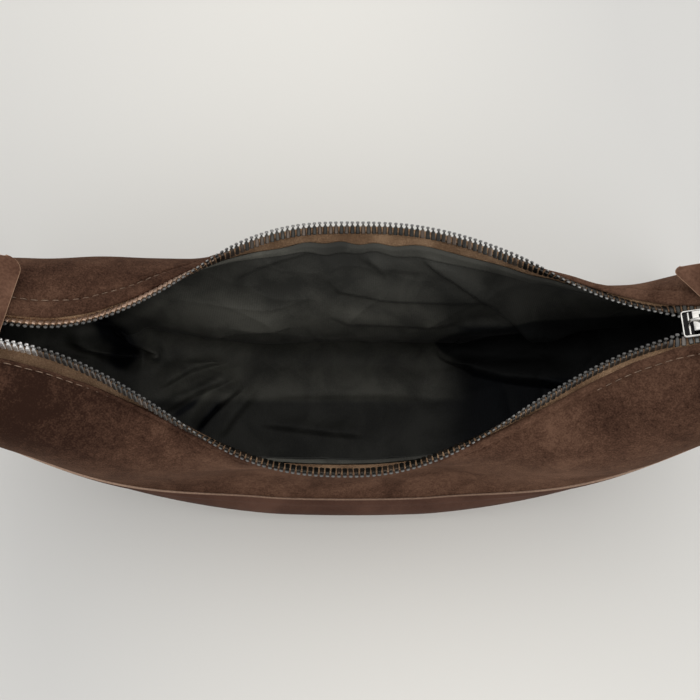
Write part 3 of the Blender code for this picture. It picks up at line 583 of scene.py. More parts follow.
def suede_finish(name, dark, middle, light):
    """Brushed suede: nap lying this way and that in patches, over fine short fibres.

    The tone is a sum of noises, patches of 30 mm, strokes of 10 mm, tufts of 3 mm and fibres under
    1 mm, and of a mark that is above 0 where the suede is lighter: nap patches, steps along each
    panel, and painted light on the front's turned roll.
    """
    material, tree, shader = blank_finish(name)
    place = object_place(tree)
    patches = mottle(tree, place, 34.0, 2.0, 0.5, 0.9)
    strokes = mottle(tree, place, 110.0, 3.0, 0.6, 0.8)
    tufts = mottle(tree, place, 420.0, 3.0, 0.65)
    fibres = mottle(tree, place, 1150.0, 3.0, 0.75)
    suede_tone_mark = marked(tree, "nap_and_painted_light")
    tone = sums(tree, (patches, 0.26), (strokes, 0.16), (tufts, 0.18), (fibres, 0.40), (suede_tone_mark, 1.0))
    colour = tones(tree, tone, [(0.38, dark), (0.50, middle), (0.62, light)])
    bumped(tree, shader, sums(tree, (tufts, 0.4), (fibres, 0.6)), 0.0007, 0.8)
    coated(tree, shader, colour, {
        "Roughness": 0.95, "Specular IOR Level": 0.05, "Sheen Weight": 0.10, "Sheen Roughness": 0.40,
        "Sheen Tint": (0.80, 0.45, 0.28, 1.0),
    })
    return material


suede_dark = (0.022, 0.0100, 0.0065)
suede_middle = (0.063, 0.0315, 0.0200)
suede_light = (0.120, 0.0640, 0.0410)
suede = suede_finish("suede", suede_dark, suede_middle, suede_light)

panel_ribs = 440
fold_widths = {-1: 0.0056, 1: 0.0080}
fold_puff = 0.0008
fold_squareness = 0.6
groove_depth = 0.0007
groove_width = 0.0011
past_groove_puff = 0.0004
past_groove_run = 0.009
pucker_height = 0.00022
pucker_spread = 1.8
edge_ripple = 0.00030
edge_ripple_length = 0.0170
edge_ripple_bend = 0.031
edge_ripple_reach = 0.016
edge_ripple_swing = 0.7
suede_waves = ((0.0005, 0.086, 0.120, {-1: -0.13, 1: 0.13}), (0.0003, 0.047, -0.090, {-1: 0.4, 1: 0.4}))
wave_share = {-1: 1.0, 1: 0.5}
waves_from = 0.010
waves_run = 0.025
level_ends_from = 0.80
level_ends_run = 0.14
stitch_pitch = 0.0048
near_columns = 28
near_reach = 0.0140
far_columns = 64
panel_round_steps = 8
seam_calm_from = 0.001
seam_calm_run = 0.016
top_run = top_path[3]

panel_folds = {
    -1: (
        (((20, 385), (90, 420), (160, 448)), (16, 20), 0.0008),
        (((560, 400), (600, 425), (640, 412)), (18, 14), -0.0008),
        (((520, 455), (580, 440), (640, 410)), (12, 16), 0.0007),
    ),
    1: (
        (((84, 262), (98, 267), (116, 275)), (3.0, 6), 0.0006),
        (((85, 270), (84, 283), (92, 300)), (3, 4), -0.0006),
        (((120, 272), (150, 274), (190, 268)), (5, 7), 0.0004),
    ),
}


def fold_width_at(side, shares):
    """Distance of the stitches from the suede's edge: the line of stitches keeps its own distance."""
    return fold_widths[side] + edge_drop - edge_drop_at(side, on_path(top_path, shares)[0])


def suede_relief(side, shares, distances, grid):
    """How far the suede stands off its plain form.

    The turned edge swells between the zip and the stitches, the stitches pull a groove with a
    pucker at each of them, and slow waves of 40 to 90 mm and a few drawn folds cross the rest.
    """
    run = shares[:, None] * top_run
    fold_width = fold_width_at(side, shares)[:, None]
    ends = 1.0 - smooth_step((np.abs(shares[:, None]) - level_ends_from) / level_ends_run)
    across_fold = np.clip(distances / fold_width, 0.0, 1.0)
    swell = fold_puff * np.sin(math.pi * across_fold) ** fold_squareness
    beyond = np.maximum(distances - fold_width, 0.0) / past_groove_run
    swell = swell + past_groove_puff * beyond * np.exp(1.0 - beyond)
    off_line = (distances - fold_width) / groove_width
    groove = -groove_depth * np.exp(-(off_line**2))
    pucker = pucker_height * np.cos(2.0 * math.pi * run / stitch_pitch)
    pucker = pucker * np.exp(-((off_line / pucker_spread) ** 2))
    swing = edge_ripple_swing * np.sin(run / edge_ripple_bend)
    ripple = np.sin(2.0 * math.pi * (run / edge_ripple_length + swing))
    pucker = pucker + edge_ripple * ripple * np.exp(-((distances / edge_ripple_reach) ** 2))
    wave = 0.0
    for height, length, depth, phases in suede_waves:
        wave = wave + height * np.sin(2.0 * math.pi * (run / length + distances / depth + phases[side]))
    wave = wave * smooth_step((distances - waves_from) / waves_run) * wave_share[side]
    wave = wave + folds(seen_at(grid), panel_folds[side])
    return (swell + groove + pucker + wave) * ends


panel_tone_steps = {
    -1: ((1, 0.030, 0.020, 0.05), (1, -0.055, 0.115, 0.04), (-1, -0.075, 0.085, 0.06)),
    1: ((-1, -0.015, 0.060, 0.05), (1, 0.060, 0.060, 0.06)),
}
nap_patches = (
    ((607, 420), (34, 22), -0.075),
    ((505, 458), (26, 13), -0.045),
    ((558, 430), (24, 14), 0.055),
    ((450, 470), (24, 10), -0.055),
    ((60, 425), (70, 34), -0.030),
    ((650, 400), (60, 34), -0.020),
)
# Painted light on the front's turned roll between the zip and the stitches, at its left end, where it catches
# the light.
rolled_light = 0.060
rolled_light_from = 0.090
rolled_light_run = 0.045
rolled_light_ease = 0.0006


def nap_and_painted_light_marks(side, shares, distances, grid):
    """Tone marks for the suede: steps that make the panel lighter or darker along its length, nap
    patches on the front, and painted light on the turned roll at the front's left.

    Above 0 the suede is lighter.
    """
    marks = eased_steps(grid[..., 0], panel_tone_steps[side])
    if side < 0:
        marks = marks + bells(seen_at(grid), nap_patches)
        inside = fold_width_at(side, shares)[:, None] - distances
        roll = smooth_step((inside + rolled_light_ease) / (2.0 * rolled_light_ease))
        along = smooth_step((-grid[..., 0] - rolled_light_from) / rolled_light_run)
        marks = marks + rolled_light * roll * along
    return marks


def sheet_marks(values, round_steps):
    """Marks for the loops of a closed sheet from those of its outer face."""
    upper = np.repeat(values[:, -1:], round_steps - 1, axis=1)
    lower = np.repeat(values[:, :1], round_steps - 1, axis=1)
    return np.concatenate([values, upper, values[:, ::-1], lower], axis=1)


def at_columns(grid, places):
    """Points of a grid at a fractional column of each row."""
    rows = np.arange(len(grid))
    before = np.floor(places).astype(int)
    share = (places - before)[:, None]
    return grid[rows, before] * (1.0 - share) + grid[rows, before + 1] * share


panel_lines = {}
for side, name in ((-1, "front_panel"), (1, "back_panel")):
    shares = np.linspace(-1.0, 1.0, panel_ribs)
    total = rib_length(side, shares)[:, None] - seam_gap
    near = np.minimum(near_reach, 0.5 * total)
    near_part = near * np.linspace(0.0, 1.0, near_columns + 1)[None, :]
    far_part = near + (total - near) * np.linspace(0.0, 1.0, far_columns + 1)[None, 1:]
    distances = np.concatenate([near_part, far_part], axis=1)[:, ::-1]
    grid, outward = laid_on_panel(side, shares, distances)
    low_end = smooth_step((total - distances - seam_calm_from) / seam_calm_run)
    relief = suede_relief(side, shares, distances, grid) * low_end
    outer = grid + outward * relief[..., None]
    inner = grid - outward * panel_thickness
    loops = closed_sheet(outer, inner, panel_round_steps)
    marks = sheet_marks(nap_and_painted_light_marks(side, shares, distances, outer), panel_round_steps)
    faces = loop_faces(*loops.shape[:2], side > 0)
    piece = new_piece(name + "_suede", loops, faces, suede, marks={"nap_and_painted_light": marks})
    dress(piece, "bag", "suede", name)
    stitch_columns = far_columns + near_columns - fold_width_at(side, shares) / near[:, 0] * near_columns
    panel_lines[side] = (shares, at_columns(outer, stitch_columns), at_columns(outward, stitch_columns))

# Topstitches: a light tan thread along both panels, 9 mm from the front's teeth and 11 mm from the
# back's. Each stitch is a short rounded length of thread that dips into the suede at both ends.
thread_radius = 0.00022
thread_sides = 6
stitch_length = 0.0035
stitch_rings = 6
stitch_taper = 0.55
stitch_crown = 0.35
stitch_dip = 1.5


def thread_finish():
    """Tan thread: darker and lighter by fine flecks, over finer fibres still."""
    material, tree, shader = blank_finish("tan_thread")
    place = object_place(tree)
    shade = mottle(tree, place, 900.0, 2.0)
    colour = tones(tree, shade, [(0.35, (0.120, 0.075, 0.048)), (0.65, (0.250, 0.168, 0.115))])
    bumped(tree, shader, mottle(tree, place, 5000.0, 1.0), 0.0002, 0.5)
    coated(tree, shader, colour, {"Roughness": 0.7})
    return material


thread = thread_finish()


def stitch_shape():
    """One stitch about its middle: a round rod whose ends are thinner and dip, both by p^4.

    p runs from -1 to 1 along it. Returns corners as forward, sideways and upward parts, and its faces.
    """
    place = np.linspace(-1.0, 1.0, stitch_rings)[:, None]
    thick = thread_radius * (1.0 - stitch_taper * place**4)
    dip = thread_radius * (stitch_crown - stitch_dip * place**4)
    turn = 2.0 * math.pi * np.arange(thread_sides) / thread_sides
    forward = 0.5 * stitch_length * place + 0.0 * turn
    corners = np.stack([forward, thick * np.cos(turn), thick * np.sin(turn) + dip], axis=-1)
    return corners.reshape(-1, 3), loop_faces(stitch_rings, thread_sides, True)


def repeated(shape, centres, forward, sideways, upward):
    """Copies of a small shape: a corner with parts (a, b, c) lies at centre + a f + b s + c u."""
    corners, faces = shape
    points = centres[:, None, :] + corners[None, :, 0:1] * forward[:, None, :]
    points = points + corners[None, :, 1:2] * sideways[:, None, :]
    points = points + corners[None, :, 2:3] * upward[:, None, :]
    count = len(corners)
    all_faces = [tuple(k + copy * count for k in face) for copy in range(len(centres)) for face in faces]
    return points, all_faces


def along_line(line, places):
    """Points of a line at distances along it."""
    lengths = np.concatenate([[0.0], np.cumsum(np.linalg.norm(np.diff(line[:, :3], axis=0), axis=-1))])
    return np.stack([np.interp(places, lengths, line[:, k]) for k in range(line.shape[1])], axis=-1)


def line_length(line):
    """Length of a line of points."""
    return float(np.linalg.norm(np.diff(line, axis=0), axis=-1).sum())


def stitched(name, line, upward, pitch, body, slot):
    """A row of stitches along a line of points that lies on a surface with these upward directions."""
    places = (np.arange(int(line_length(line) / pitch)) + 0.5) * pitch
    both = np.concatenate([line, upward], axis=1)
    middle = along_line(both, places)
    ahead = along_line(both, places + 0.5 * stitch_length)[:, :3]
    behind = along_line(both, places - 0.5 * stitch_length)[:, :3]
    forward = unit(ahead - behind)
    up = unit(middle[:, 3:] - forward * np.sum(middle[:, 3:] * forward, axis=-1, keepdims=True))
    middles = 0.5 * (ahead + behind)
    points, faces = repeated(stitch_shape(), middles, forward, np.cross(up, forward), up)
    dress(new_piece(name, points, faces, thread), body, slot)


stitch_end_share = 0.90
stitch_rise = 0.00014
stitch_sink = 0.00085
sunk_from = {-1: -0.64, 1: -0.50}
sunk_until = {-1: 0.62, 1: 10.0}
sunk_run = 0.14
for side, name in ((-1, "front_topstitch"), (1, "back_topstitch")):
    shares, line, upward = panel_lines[side]
    shown = np.abs(shares) < stitch_end_share
    sunk = smooth_step((shares - sunk_from[side]) / sunk_run)
    sunk = sunk * smooth_step((sunk_until[side] - shares) / sunk_run)
    rise = (stitch_rise - stitch_sink * sunk)[:, None]
    stitched(name, (line + upward * rise)[shown], upward[shown], stitch_pitch, "bag", "suede")

# Gusset: one long band of smooth dark brown leather, under the bag and up both ends. Its cut
# edges are left raw and lie over the panels, so a light line shows where they are sewn.
gusset_thickness = 0.0018
gusset_edge_lift = 0.0010
gusset_edge_past = 0.0014
raw_border = 0.00080
gusset_ribs = 400
gusset_lip_from = 0.93
gusset_lip_run = 0.05


def leather_finish(name, dark, middle, light, raw):
    """Smooth dyed leather: fine pores and faint clouds, with a paler cut edge.

    The mark named raw is 1 on cut edges, where the undyed middle of the hide shows.
    """
    material, tree, shader = blank_finish(name)
    place = object_place(tree)
    clouds = mottle(tree, place, 30.0, 3.0, 0.55, 0.4)
    grain = mottle(tree, place, 800.0, 4.0, 0.6)
    tone = sums(tree, (clouds, 0.68), (grain, 0.32))
    dyed = tones(tree, tone, [(0.38, dark), (0.50, middle), (0.62, light)])
    cut = tones(tree, grain, [(0.35, tuple(0.72 * part for part in raw)), (0.65, raw)])
    colour = mixed(tree, marked(tree, "raw"), dyed, cut)
    coated(tree, shader, colour, {"Specular IOR Level": 0.07})
    pores = node(tree, "ShaderNodeTexVoronoi", {"Vector": place, "Scale": 1500.0}).outputs["Distance"]
    bumped(tree, shader, sums(tree, (pores, 0.6), (grain, 0.4)), 0.00025, 0.6)
    shine = node(tree, "ShaderNodeMapRange", {"Value": grain, "To Min": 0.62, "To Max": 0.80})
    tree.links.new(shine.outputs["Result"], shader.inputs["Roughness"])
    return material


def thickened(piece, thickness, offset=-1.0):
    """Give a sheet its thickness: all of it inwards at an offset of -1, half to each side at 0."""
    shell = piece.modifiers.new("thickness", "SOLIDIFY")
    shell.thickness = thickness
    shell.offset = offset
    return piece


gusset_dark = (0.048, 0.0222, 0.0150)
gusset_middle = (0.065, 0.0312, 0.0210)
gusset_light = (0.084, 0.0414, 0.0282)
raw_hide = (0.400, 0.270, 0.195)
smooth_leather = leather_finish("smooth_leather", gusset_dark, gusset_middle, gusset_light, raw_hide)

flat_run = np.linspace(0.0, flat_share, 10)[:-1]
corner_run = np.linspace(flat_share, gusset_lip_from, 22)[:-1]
alongs = np.concatenate([flat_run, corner_run, np.linspace(gusset_lip_from, 1.0, 14)])
shares = np.linspace(-1.0, 1.0, gusset_ribs)
halves = []
for side in (-1, 1):
    half = gusset_face(side, shares[:, None], alongs[None, :])
    outward = outward_of(side, half)
    lift = gusset_edge_lift * smooth_step((alongs - gusset_lip_from) / gusset_lip_run)
    half = half + outward * lift[:, None]
    past_seam = unit(half[:, -1] - half[:, -2])
    rim = [half[:, -1] + past_seam * past for past in (gusset_edge_past - raw_border, gusset_edge_past)]
    halves.append(np.concatenate([half, np.stack(rim, axis=1)], axis=1))
grid = np.concatenate([halves[0][:, :0:-1], halves[1]], axis=1)
raw = np.zeros(grid.shape[:2])
raw[:, [0, -1]] = 1.0
piece = new_piece("gusset_band", grid, grid_faces(*grid.shape[:2]), smooth_leather, marks={"raw": raw})
dress(thickened(piece, gusset_thickness), "bag", "smooth_leather", "gusset")

# Stiffening board: grey pressed board between the gusset and the lining, which keeps the bottom
# flat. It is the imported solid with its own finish.


def board_finish():
    """Pressed grey board with short darker and lighter fibres."""
    material, tree, shader = blank_finish("grey_board")
    place = object_place(tree)
    flecks = mottle(tree, place, 700.0, 4.0, 0.7)
    colour = tones(tree, flecks, [(0.35, (0.10, 0.094, 0.088)), (0.65, (0.21, 0.20, 0.188))])
    bumped(tree, shader, flecks, 0.0002, 0.5)
    coated(tree, shader, colour, {"Roughness": 0.9})
    return material


def refinished(name, finish):
    """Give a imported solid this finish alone."""
    nodes[name].data.materials.clear()
    nodes[name].data.materials.append(finish)


refinished("base_board", board_finish())

# Lining: black woven cloth, sewn as a loose bag of its own, a front, a back and a base. It is
# cut larger than the skin and hangs in folds, so each piece stands off its seat in soft ridges.
lining_thickness = 0.0005
board_thickness = 0.0015
lining_drops = {-1: 0.0124, 1: 0.0054}
lining_columns = 190
lining_ribs = 420
lining_depth = panel_thickness + tape_clearance + tape_thickness + clearance
base_depth = gusset_thickness + clearance + board_thickness + clearance
zip_share = float(np.interp(zip_half_length, top_path[1], top_path[0]))
tip_closing_share = 0.05
base_depth_run = 0.5
base_fold_run = 0.06
hem_width = 0.0048
hem_lift = 0.0012
hem_wander = 0.0011
hem_ease = 0.0010
hem_lift_run = 0.0018
hem_calm_from = 0.001
hem_calm_run = 0.010
crease_height = 0.0009
cross_crease_height = 0.0005
cloth_swell_height = 0.0003
lining_swells = (
    ((208, 386), (62, 38), 0.0040),
    ((246, 312), (62, 20), 0.0030),
    ((350, 378), (150, 26), 0.0015),
)
lining_folds = (
    (((62, 334), (95, 346), (126, 362), (142, 370)), (12, 7), 0.0130),
    (((110, 324), (136, 330), (150, 346), (144, 374)), (7, 5), 0.0110),
    (((150, 392), (186, 372), (228, 360)), (11, 2.5), 0.0060),
    (((158, 414), (190, 396), (236, 378)), (12, 2.5), 0.0055),
    (((192, 432), (212, 410), (244, 386)), (11, 2.2), 0.0070),
    (((214, 442), (234, 414), (256, 390)), (9, 4), 0.0030),
    (((252, 424), (296, 429), (336, 434), (376, 437)), (10, 2), 0.0030),
    (((250, 398), (320, 396), (380, 396), (444, 398)), (24, 2.5), 0.0034),
    (((196, 336), (240, 326), (296, 323)), (14, 2.0), 0.0030),
    (((318, 268), (340, 288), (392, 297), (500, 300)), (14, 3.0), 0.0022),
    (((352, 250), (384, 266), (430, 270)), (10, 4), 0.0012),
    (((416, 252), (448, 272), (482, 294), (512, 314)), (9, 3.0), 0.0030),
    (((316, 308), (350, 319), (430, 323), (476, 316)), (14, 3.5), 0.0020),
    (((432, 341), (443, 355), (477, 372), (510, 380), (590, 388)), (18, 2.5), 0.0100),
    (((430, 336), (470, 324), (540, 318), (610, 324)), (4, 8), 0.0050),
    (((486, 304), (530, 320), (580, 315), (676, 310)), (14, 2.2), 0.0080),
    (((226, 280), (262, 262), (320, 247)), (9, 2.5), 0.0018),
)


def lining_relief(grid, run, rise):
    """How far the cloth stands in from its seat: swells, drawn folds, and small wandering creases.

    The swells are bells round a pixel, and the creases are sharpened sines whose phase is bent by
    other sines.
    """
    pixels = seen_at(grid)
    height = bells(pixels, lining_swells) + folds(pixels, lining_folds)
    bent = 0.9 * np.sin(run / 0.0170 + 1.3 * np.sin(rise / 0.013))
    bent = bent + 0.7 * np.sin(rise / 0.0210 + run / 0.034)
    crease = 1.0 - np.abs(np.sin(run / 0.0125 + rise / 0.030 + 1.6 * bent))
    other = 1.0 - np.abs(np.sin(rise / 0.0110 - run / 0.042 + 1.4 * bent + 0.8))
    swell = 0.5 + 0.5 * np.sin(run / 0.027 + 2.0 * np.sin(rise / 0.031))
    small = crease_height * swell * crease**2 + cross_crease_height * other**2
    return height + small + cloth_swell_height * swell


# Painted light and shade on the lining: lines along the folds that are lighter (above 0) or darker (below 0),
# painted light over the floor, the upper back and the hem, and painted shade under the leaf.
leaf_top = ((432, 341), (450, 333), (475, 328), (510, 325), (533, 319), (600, 315), (640, 312))
leaf_bottom = ((432, 341), (443, 355), (477, 372), (510, 380), (560, 380), (640, 380))
painted_light_lines = (
    (((44, 331), (100, 329), (146, 312), (188, 283)), (5, 6), 0.22),
    (((14, 338), (60, 345), (92, 354), (110, 362)), (9, 9), 0.26),
    (((90, 318), (118, 336), (128, 352), (108, 369)), (9, 9), -0.70),
    (((140, 326), (151, 342), (152, 360), (142, 373)), (6, 6), 0.16),
    (((164, 400), (194, 389), (224, 372)), (3, 3), -0.26),
    (((170, 419), (192, 405), (208, 386)), (4, 3), -0.32),
    (((194, 438), (206, 418), (224, 399)), (3, 4), -0.28),
    (((150, 399), (176, 394), (204, 378)), (5, 4), 0.10),
    (((184, 426), (199, 405), (217, 388)), (4, 4), 0.12),
)
floor_painted_light = 0.68
floor_fades = (
    (0, 1, 425.0, 50.0, 1.0),
    (0, -1, -180.0, 60.0, 0.65),
    (1, 1, 396.0, 8.0, 0.66),
    (1, -1, -315.0, 40.0, 0.45),
)
upper_painted_light = 0.32
upper_fades = ((1, 1, 322.0, 8.0, 1.0), (0, 1, 640.0, 40.0, 1.0), (0, -1, -410.0, 80.0, 1.0))
leaf_painted_shade = 0.07
leaf_left = 431.0
leaf_top_ease = 3.0
leaf_ease = 4.0
hem_painted_light = 0.95
hem_painted_light_lost = 0.45
hem_painted_light_from = 290.0
hem_painted_light_run = 50.0


def faded(pixels, fades):
    """Product of fades 1 - a s, where s eases from 0 to 1 along an axis of the picture.

    A fade has its axis, the way in which s grows, the start and the run of that in pixels, and a.
    """
    kept = np.ones(pixels.shape[:-1])
    for axis, way, start, run, amount in fades:
        kept = kept * (1.0 - amount * smooth_step((way * pixels[..., axis] - start) / run))
    return kept


def painted_light_on(grid, from_hem=1.0):
    """Painted light on the cloth: grey most on the turned hem and the middle of the floor, with lines of
    painted light and painted shade along the folds.

    It is painted shade, blackest, in the hollow at the left and under the leaf-shaped fold.
    """
    pixels = seen_at(grid)
    across, down = pixels[..., 0], pixels[..., 1]
    painted_light = np.maximum(floor_painted_light * faded(pixels, floor_fades), upper_painted_light * faded(pixels, upper_fades))
    painted_light = painted_light + folds(pixels, painted_light_lines)
    top, bottom = (np.interp(across, *np.array(line, dtype=float).T) for line in (leaf_top, leaf_bottom))
    inside = smooth_step((down - top) / leaf_top_ease) * smooth_step((bottom - down) / leaf_ease)
    inside = inside * smooth_step((across - leaf_left) / leaf_ease)
    painted_light = painted_light * (1.0 - inside) + leaf_painted_shade * inside
    hem = 1.0 - smooth_step((from_hem - hem_width) / hem_ease)
    hem = hem * (hem_painted_light - hem_painted_light_lost * smooth_step((across - hem_painted_light_from) / hem_painted_light_run))
    return np.clip(np.maximum(painted_light, hem), 0.0, 1.0)


def drawn_to_tip(grid, shares):
    """Close the cloth at both ends of the zip: the last ribs come together on the centre line."""
    closing = smooth_step((np.abs(shares) - zip_share + tip_closing_share) / tip_closing_share)[:, None]
    drawn = grid.copy()
    drawn[..., 1] = grid[..., 1] * (1.0 - closing) + centre_y(grid[..., 0]) * closing
    return drawn


def lining_finish():
    """Black woven cloth: a fine weave with faint clouds, painted near black as shade, and painted grey as
    light where a mark is above 0.
    """
    material, tree, shader = blank_finish("black_lining")
    place = object_place(tree)
    clouds = mottle(tree, place, 38.0, 3.0, 0.55, 0.5)
    slubs = mottle(tree, place, 1300.0, 2.0, 0.6)
    tone = sums(tree, (clouds, 0.75), (slubs, 0.25))
    # The grey cloth is painted light, and the near-black cloth is painted shade.
    painted_lit_cloth = tones(tree, tone, [(0.38, (0.0560, 0.0550, 0.0475)), (0.62, (0.1150, 0.1120, 0.0940))])
    unmarked_colour = tones(tree, tone, [(0.38, (0.0010, 0.0013, 0.0018)), (0.62, (0.0026, 0.0033, 0.0046))])
    weave = {"Vector": place, "Scale": 320.0, "Distortion": 0.6}
    threads = node(tree, "ShaderNodeTexWave", weave, bands_direction="X").outputs["Fac"]
    bumped(tree, shader, sums(tree, (slubs, 0.5), (threads, 0.5)), 0.00018, 0.5)
    coated(tree, shader, mixed(tree, marked(tree, "painted_light"), unmarked_colour, painted_lit_cloth), {
        "Roughness": 0.62, "Specular IOR Level": 0.10, "Sheen Weight": 0.02, "Sheen Roughness": 0.35,
    })
    return material


black_lining = lining_finish()
shares = np.linspace(-zip_share, zip_share, lining_ribs)
for side, name in ((-1, "lining_front"), (1, "lining_back")):
    total = rib_length(side, shares)[:, None]
    spread = np.linspace(1.0, 0.0, lining_columns)[None, :]
    run = shares[:, None] * top_run
    waver = 0.0007 * np.sin(run / 0.0042 + 2.2 * np.sin(run / 0.019)) + 0.0006 * np.sin(run / 0.011)
    hem = lining_drops[side] + waver
    distances = hem + (total - hem) * spread
    grid, outward = laid_on_panel(side, shares, distances)
    seat = grid - outward * lining_depth
    held = smooth_step((distances - hem - hem_calm_from) / hem_calm_run)
    from_hem = distances - hem + hem_wander * np.sin(run / 0.013 + 1.7 * np.sin(run / 0.024))
    hem_band = 1.0 - smooth_step((from_hem - hem_width) / hem_ease)
    hem_band = hem_band * smooth_step((distances - hem) / hem_lift_run)
    relief = lining_relief(seat, run, total - distances) * held + hem_lift * hem_band
    cloth = drawn_to_tip(seat - outward * relief[..., None], shares)
    faces = grid_faces(*cloth.shape[:2], turned=side < 0)
    marks = {"painted_light": painted_light_on(cloth, from_hem)}
    piece = new_piece(name + "_cloth", cloth, faces, black_lining, marks=marks)
    dress(thickened(piece, lining_thickness), "bag", "lining", name)

base_alongs = np.linspace(0.004, 1.0, 70)
halves = []
for side in (-1, 1):
    half = gusset_face(side, shares[:, None], base_alongs[None, :])
    outward = outward_of(side, half)
    depth = smooth_step((base_alongs - flat_share) / base_depth_run)
    seat = half - outward * (base_depth + (lining_depth - base_depth) * depth)[:, None]
    rise = base_fold_run * (base_alongs - 1.0)
    relief = lining_relief(seat, shares[:, None] * top_run, rise)
    halves.append(seat - outward * relief[..., None])
grid = drawn_to_tip(np.concatenate([halves[0][:, ::-1], halves[1]], axis=1), shares)
faces = grid_faces(*grid.shape[:2])
piece = new_piece("lining_base_cloth", grid, faces, black_lining, marks={"painted_light": painted_light_on(grid)})
dress(thickened(piece, lining_thickness), "bag", "lining", "lining_base")

# Slip pocket: a flat pocket of the same black cloth on the front of the lining, hemmed along its
# mouth. It follows the folds of the cloth that it is sewn to.
pocket_half_length = 0.0680
pocket_height = 0.0600
pocket_top_drop = 0.0240
pocket_thickness = 0.0006
pocket_looseness = 0.0005
pocket_hem = 0.0080
pocket_hem_swell = 0.0002
pocket_mouth_gape = 0.0004
pocket_ease = 0.012
pocket_stand = 0.0002
pocket_ribs = 150
pocket_columns = 70
pocket_x = np.linspace(-pocket_half_length, pocket_half_length, pocket_ribs)
shares = np.copysign(np.interp(np.abs(pocket_x), top_path[1], top_path[0]), pocket_x)
down_pocket = np.linspace(pocket_top_drop + pocket_height, pocket_top_drop, pocket_columns)
distances = np.tile(down_pocket, (pocket_ribs, 1))
grid, outward = laid_on_panel(-1, shares, distances)
seat = grid - outward * lining_depth
total = rib_length(-1, shares)[:, None]
relief = lining_relief(seat, shares[:, None] * top_run, total - distances)
from_side = (pocket_half_length - np.abs(pocket_x))[:, None]
from_mouth = distances - pocket_top_drop
loose = smooth_step(np.minimum(from_side, pocket_height - from_mouth) / pocket_ease)
hem = pocket_hem_swell * np.sin(math.pi * np.clip(from_mouth / pocket_hem, 0.0, 1.0)) ** 0.5
hem = hem + pocket_mouth_gape * np.exp(-((from_mouth / pocket_ease) ** 2))
stand = relief + pocket_stand + (lining_thickness + pocket_looseness) * loose
outer = seat - outward * (stand + hem * loose + pocket_thickness)[..., None]
inner = seat - outward * stand[..., None]
loops = closed_sheet(outer, inner, round_steps=5)
faces = loop_faces(*loops.shape[:2], True)
piece = new_piece("slip_pocket_cloth", loops, faces, black_lining, marks={"painted_light": painted_light_on(loops)})
dress(piece, "bag", "lining", "slip_pocket")

# Zip tapes: tan brown twill, one along each panel. The hidden part is sewn behind the suede, and
# the shown edge ends in a cord that the teeth clamp.
tape_hidden = 0.0120
tape_hidden_until = 0.0012
tape_hidden_columns = 12
tape_ribs = 420
tape_cord = 0.00065
tape_shown_halves = (0.00042, 0.00052, tape_cord, tape_cord)
tape_stretch = 1.08
twill_ribs = 11400.0
twill_dark = (0.120, 0.068, 0.038)
twill_middle = (0.280, 0.170, 0.098)
twill_light = (0.460, 0.305, 0.185)
# Painted shade on the front tape towards its left end.
shaded_twill = (0.060, 0.036, 0.022, 1.0)
painted_shade_steps = {-1: ((-1, 0.50, 0.040, 0.050),), 1: ()}


def twill_finish():
    """Twill tape: slanting ribs 0.55 mm apart that follow the tape, over mottled tan yarn.

    A mark above 0 darkens the tape with painted shade, towards the front's left end.
    """
    material, tree, shader = blank_finish("tan_twill")
    place = node(tree, "ShaderNodeUVMap", uv_map="pattern").outputs["UV"]
    parts = node(tree, "ShaderNodeSeparateXYZ", {"Vector": place}).outputs
    ribs = maths(tree, "SINE", sums(tree, (parts["X"], twill_ribs), (parts["Y"], twill_ribs)))
    yarn = mottle(tree, object_place(tree), 1600.0, 3.0)
    clouds = mottle(tree, object_place(tree), 60.0, 2.0)
    tone = sums(tree, (ribs, 0.10), (yarn, 0.45), (clouds, 0.45))
    unmarked_colour = tones(tree, tone, [(0.36, twill_dark), (0.50, twill_middle), (0.62, twill_light)])
    colour = mixed(tree, marked(tree, "painted_shade"), unmarked_colour, shaded_twill)
    bumped(tree, shader, sums(tree, (ribs, 0.7), (yarn, 0.3)), 0.00030, 0.7)
    coated(tree, shader, colour, {"Roughness": 0.85, "Specular IOR Level": 0.08})
    return material


tan_twill = twill_finish()
shares = np.linspace(-zip_share, zip_share, tape_ribs)
for side, name in ((-1, "zip_tape_front"), (1, "zip_tape_back")):
    hidden = np.tile(np.linspace(tape_hidden, tape_hidden_until, tape_hidden_columns), (tape_ribs, 1))
    grid, outward = laid_on_panel(side, shares, hidden)
    back = grid - outward * (panel_thickness + tape_clearance + 0.5 * tape_thickness)
    x = on_path(top_path, shares)[0]
    point, direction, square = row_frame(side, x)
    edge_direction, edge_square = row_frame(side, x, edge_turn)[1:]
    rim = point - edge_direction * edge_drop_at(side, x)[:, None]
    bend = point - direction * tape_shown
    shown = [rim, 0.5 * (rim + bend), bend, 0.5 * (bend + point), point]
    middle = np.concatenate([back, np.stack(shown, axis=1)], axis=1)
    squares = [edge_square, unit(edge_square + square), square, square, square]
    across = np.concatenate([outward, np.stack(squares, axis=1)], axis=1)
    half = np.full(middle.shape[1], 0.5 * tape_thickness)
    half[-len(tape_shown_halves):] = tape_shown_halves
    outer = middle + across * half[:, None]
    inner = middle - across * half[:, None]
    loops = closed_sheet(outer, inner, round_steps=6)
    up_tape = np.cumsum(np.linalg.norm(np.diff(loops, axis=1, prepend=loops[:, :1]), axis=-1), axis=1)
    along_tape = shares[:, None] * top_run * tape_stretch + 0.0 * up_tape
    painted_shade = eased_steps(x[:, None], painted_shade_steps[side]) + 0.0 * up_tape
    uv = np.stack([along_tape, up_tape], axis=-1)
    faces = loop_faces(*loops.shape[:2], side > 0)
    piece = new_piece(name + "_twill", loops, faces, tan_twill, uv=uv, marks={"painted_shade": painted_shade})
    dress(piece, "bag", "zip_tape", name)

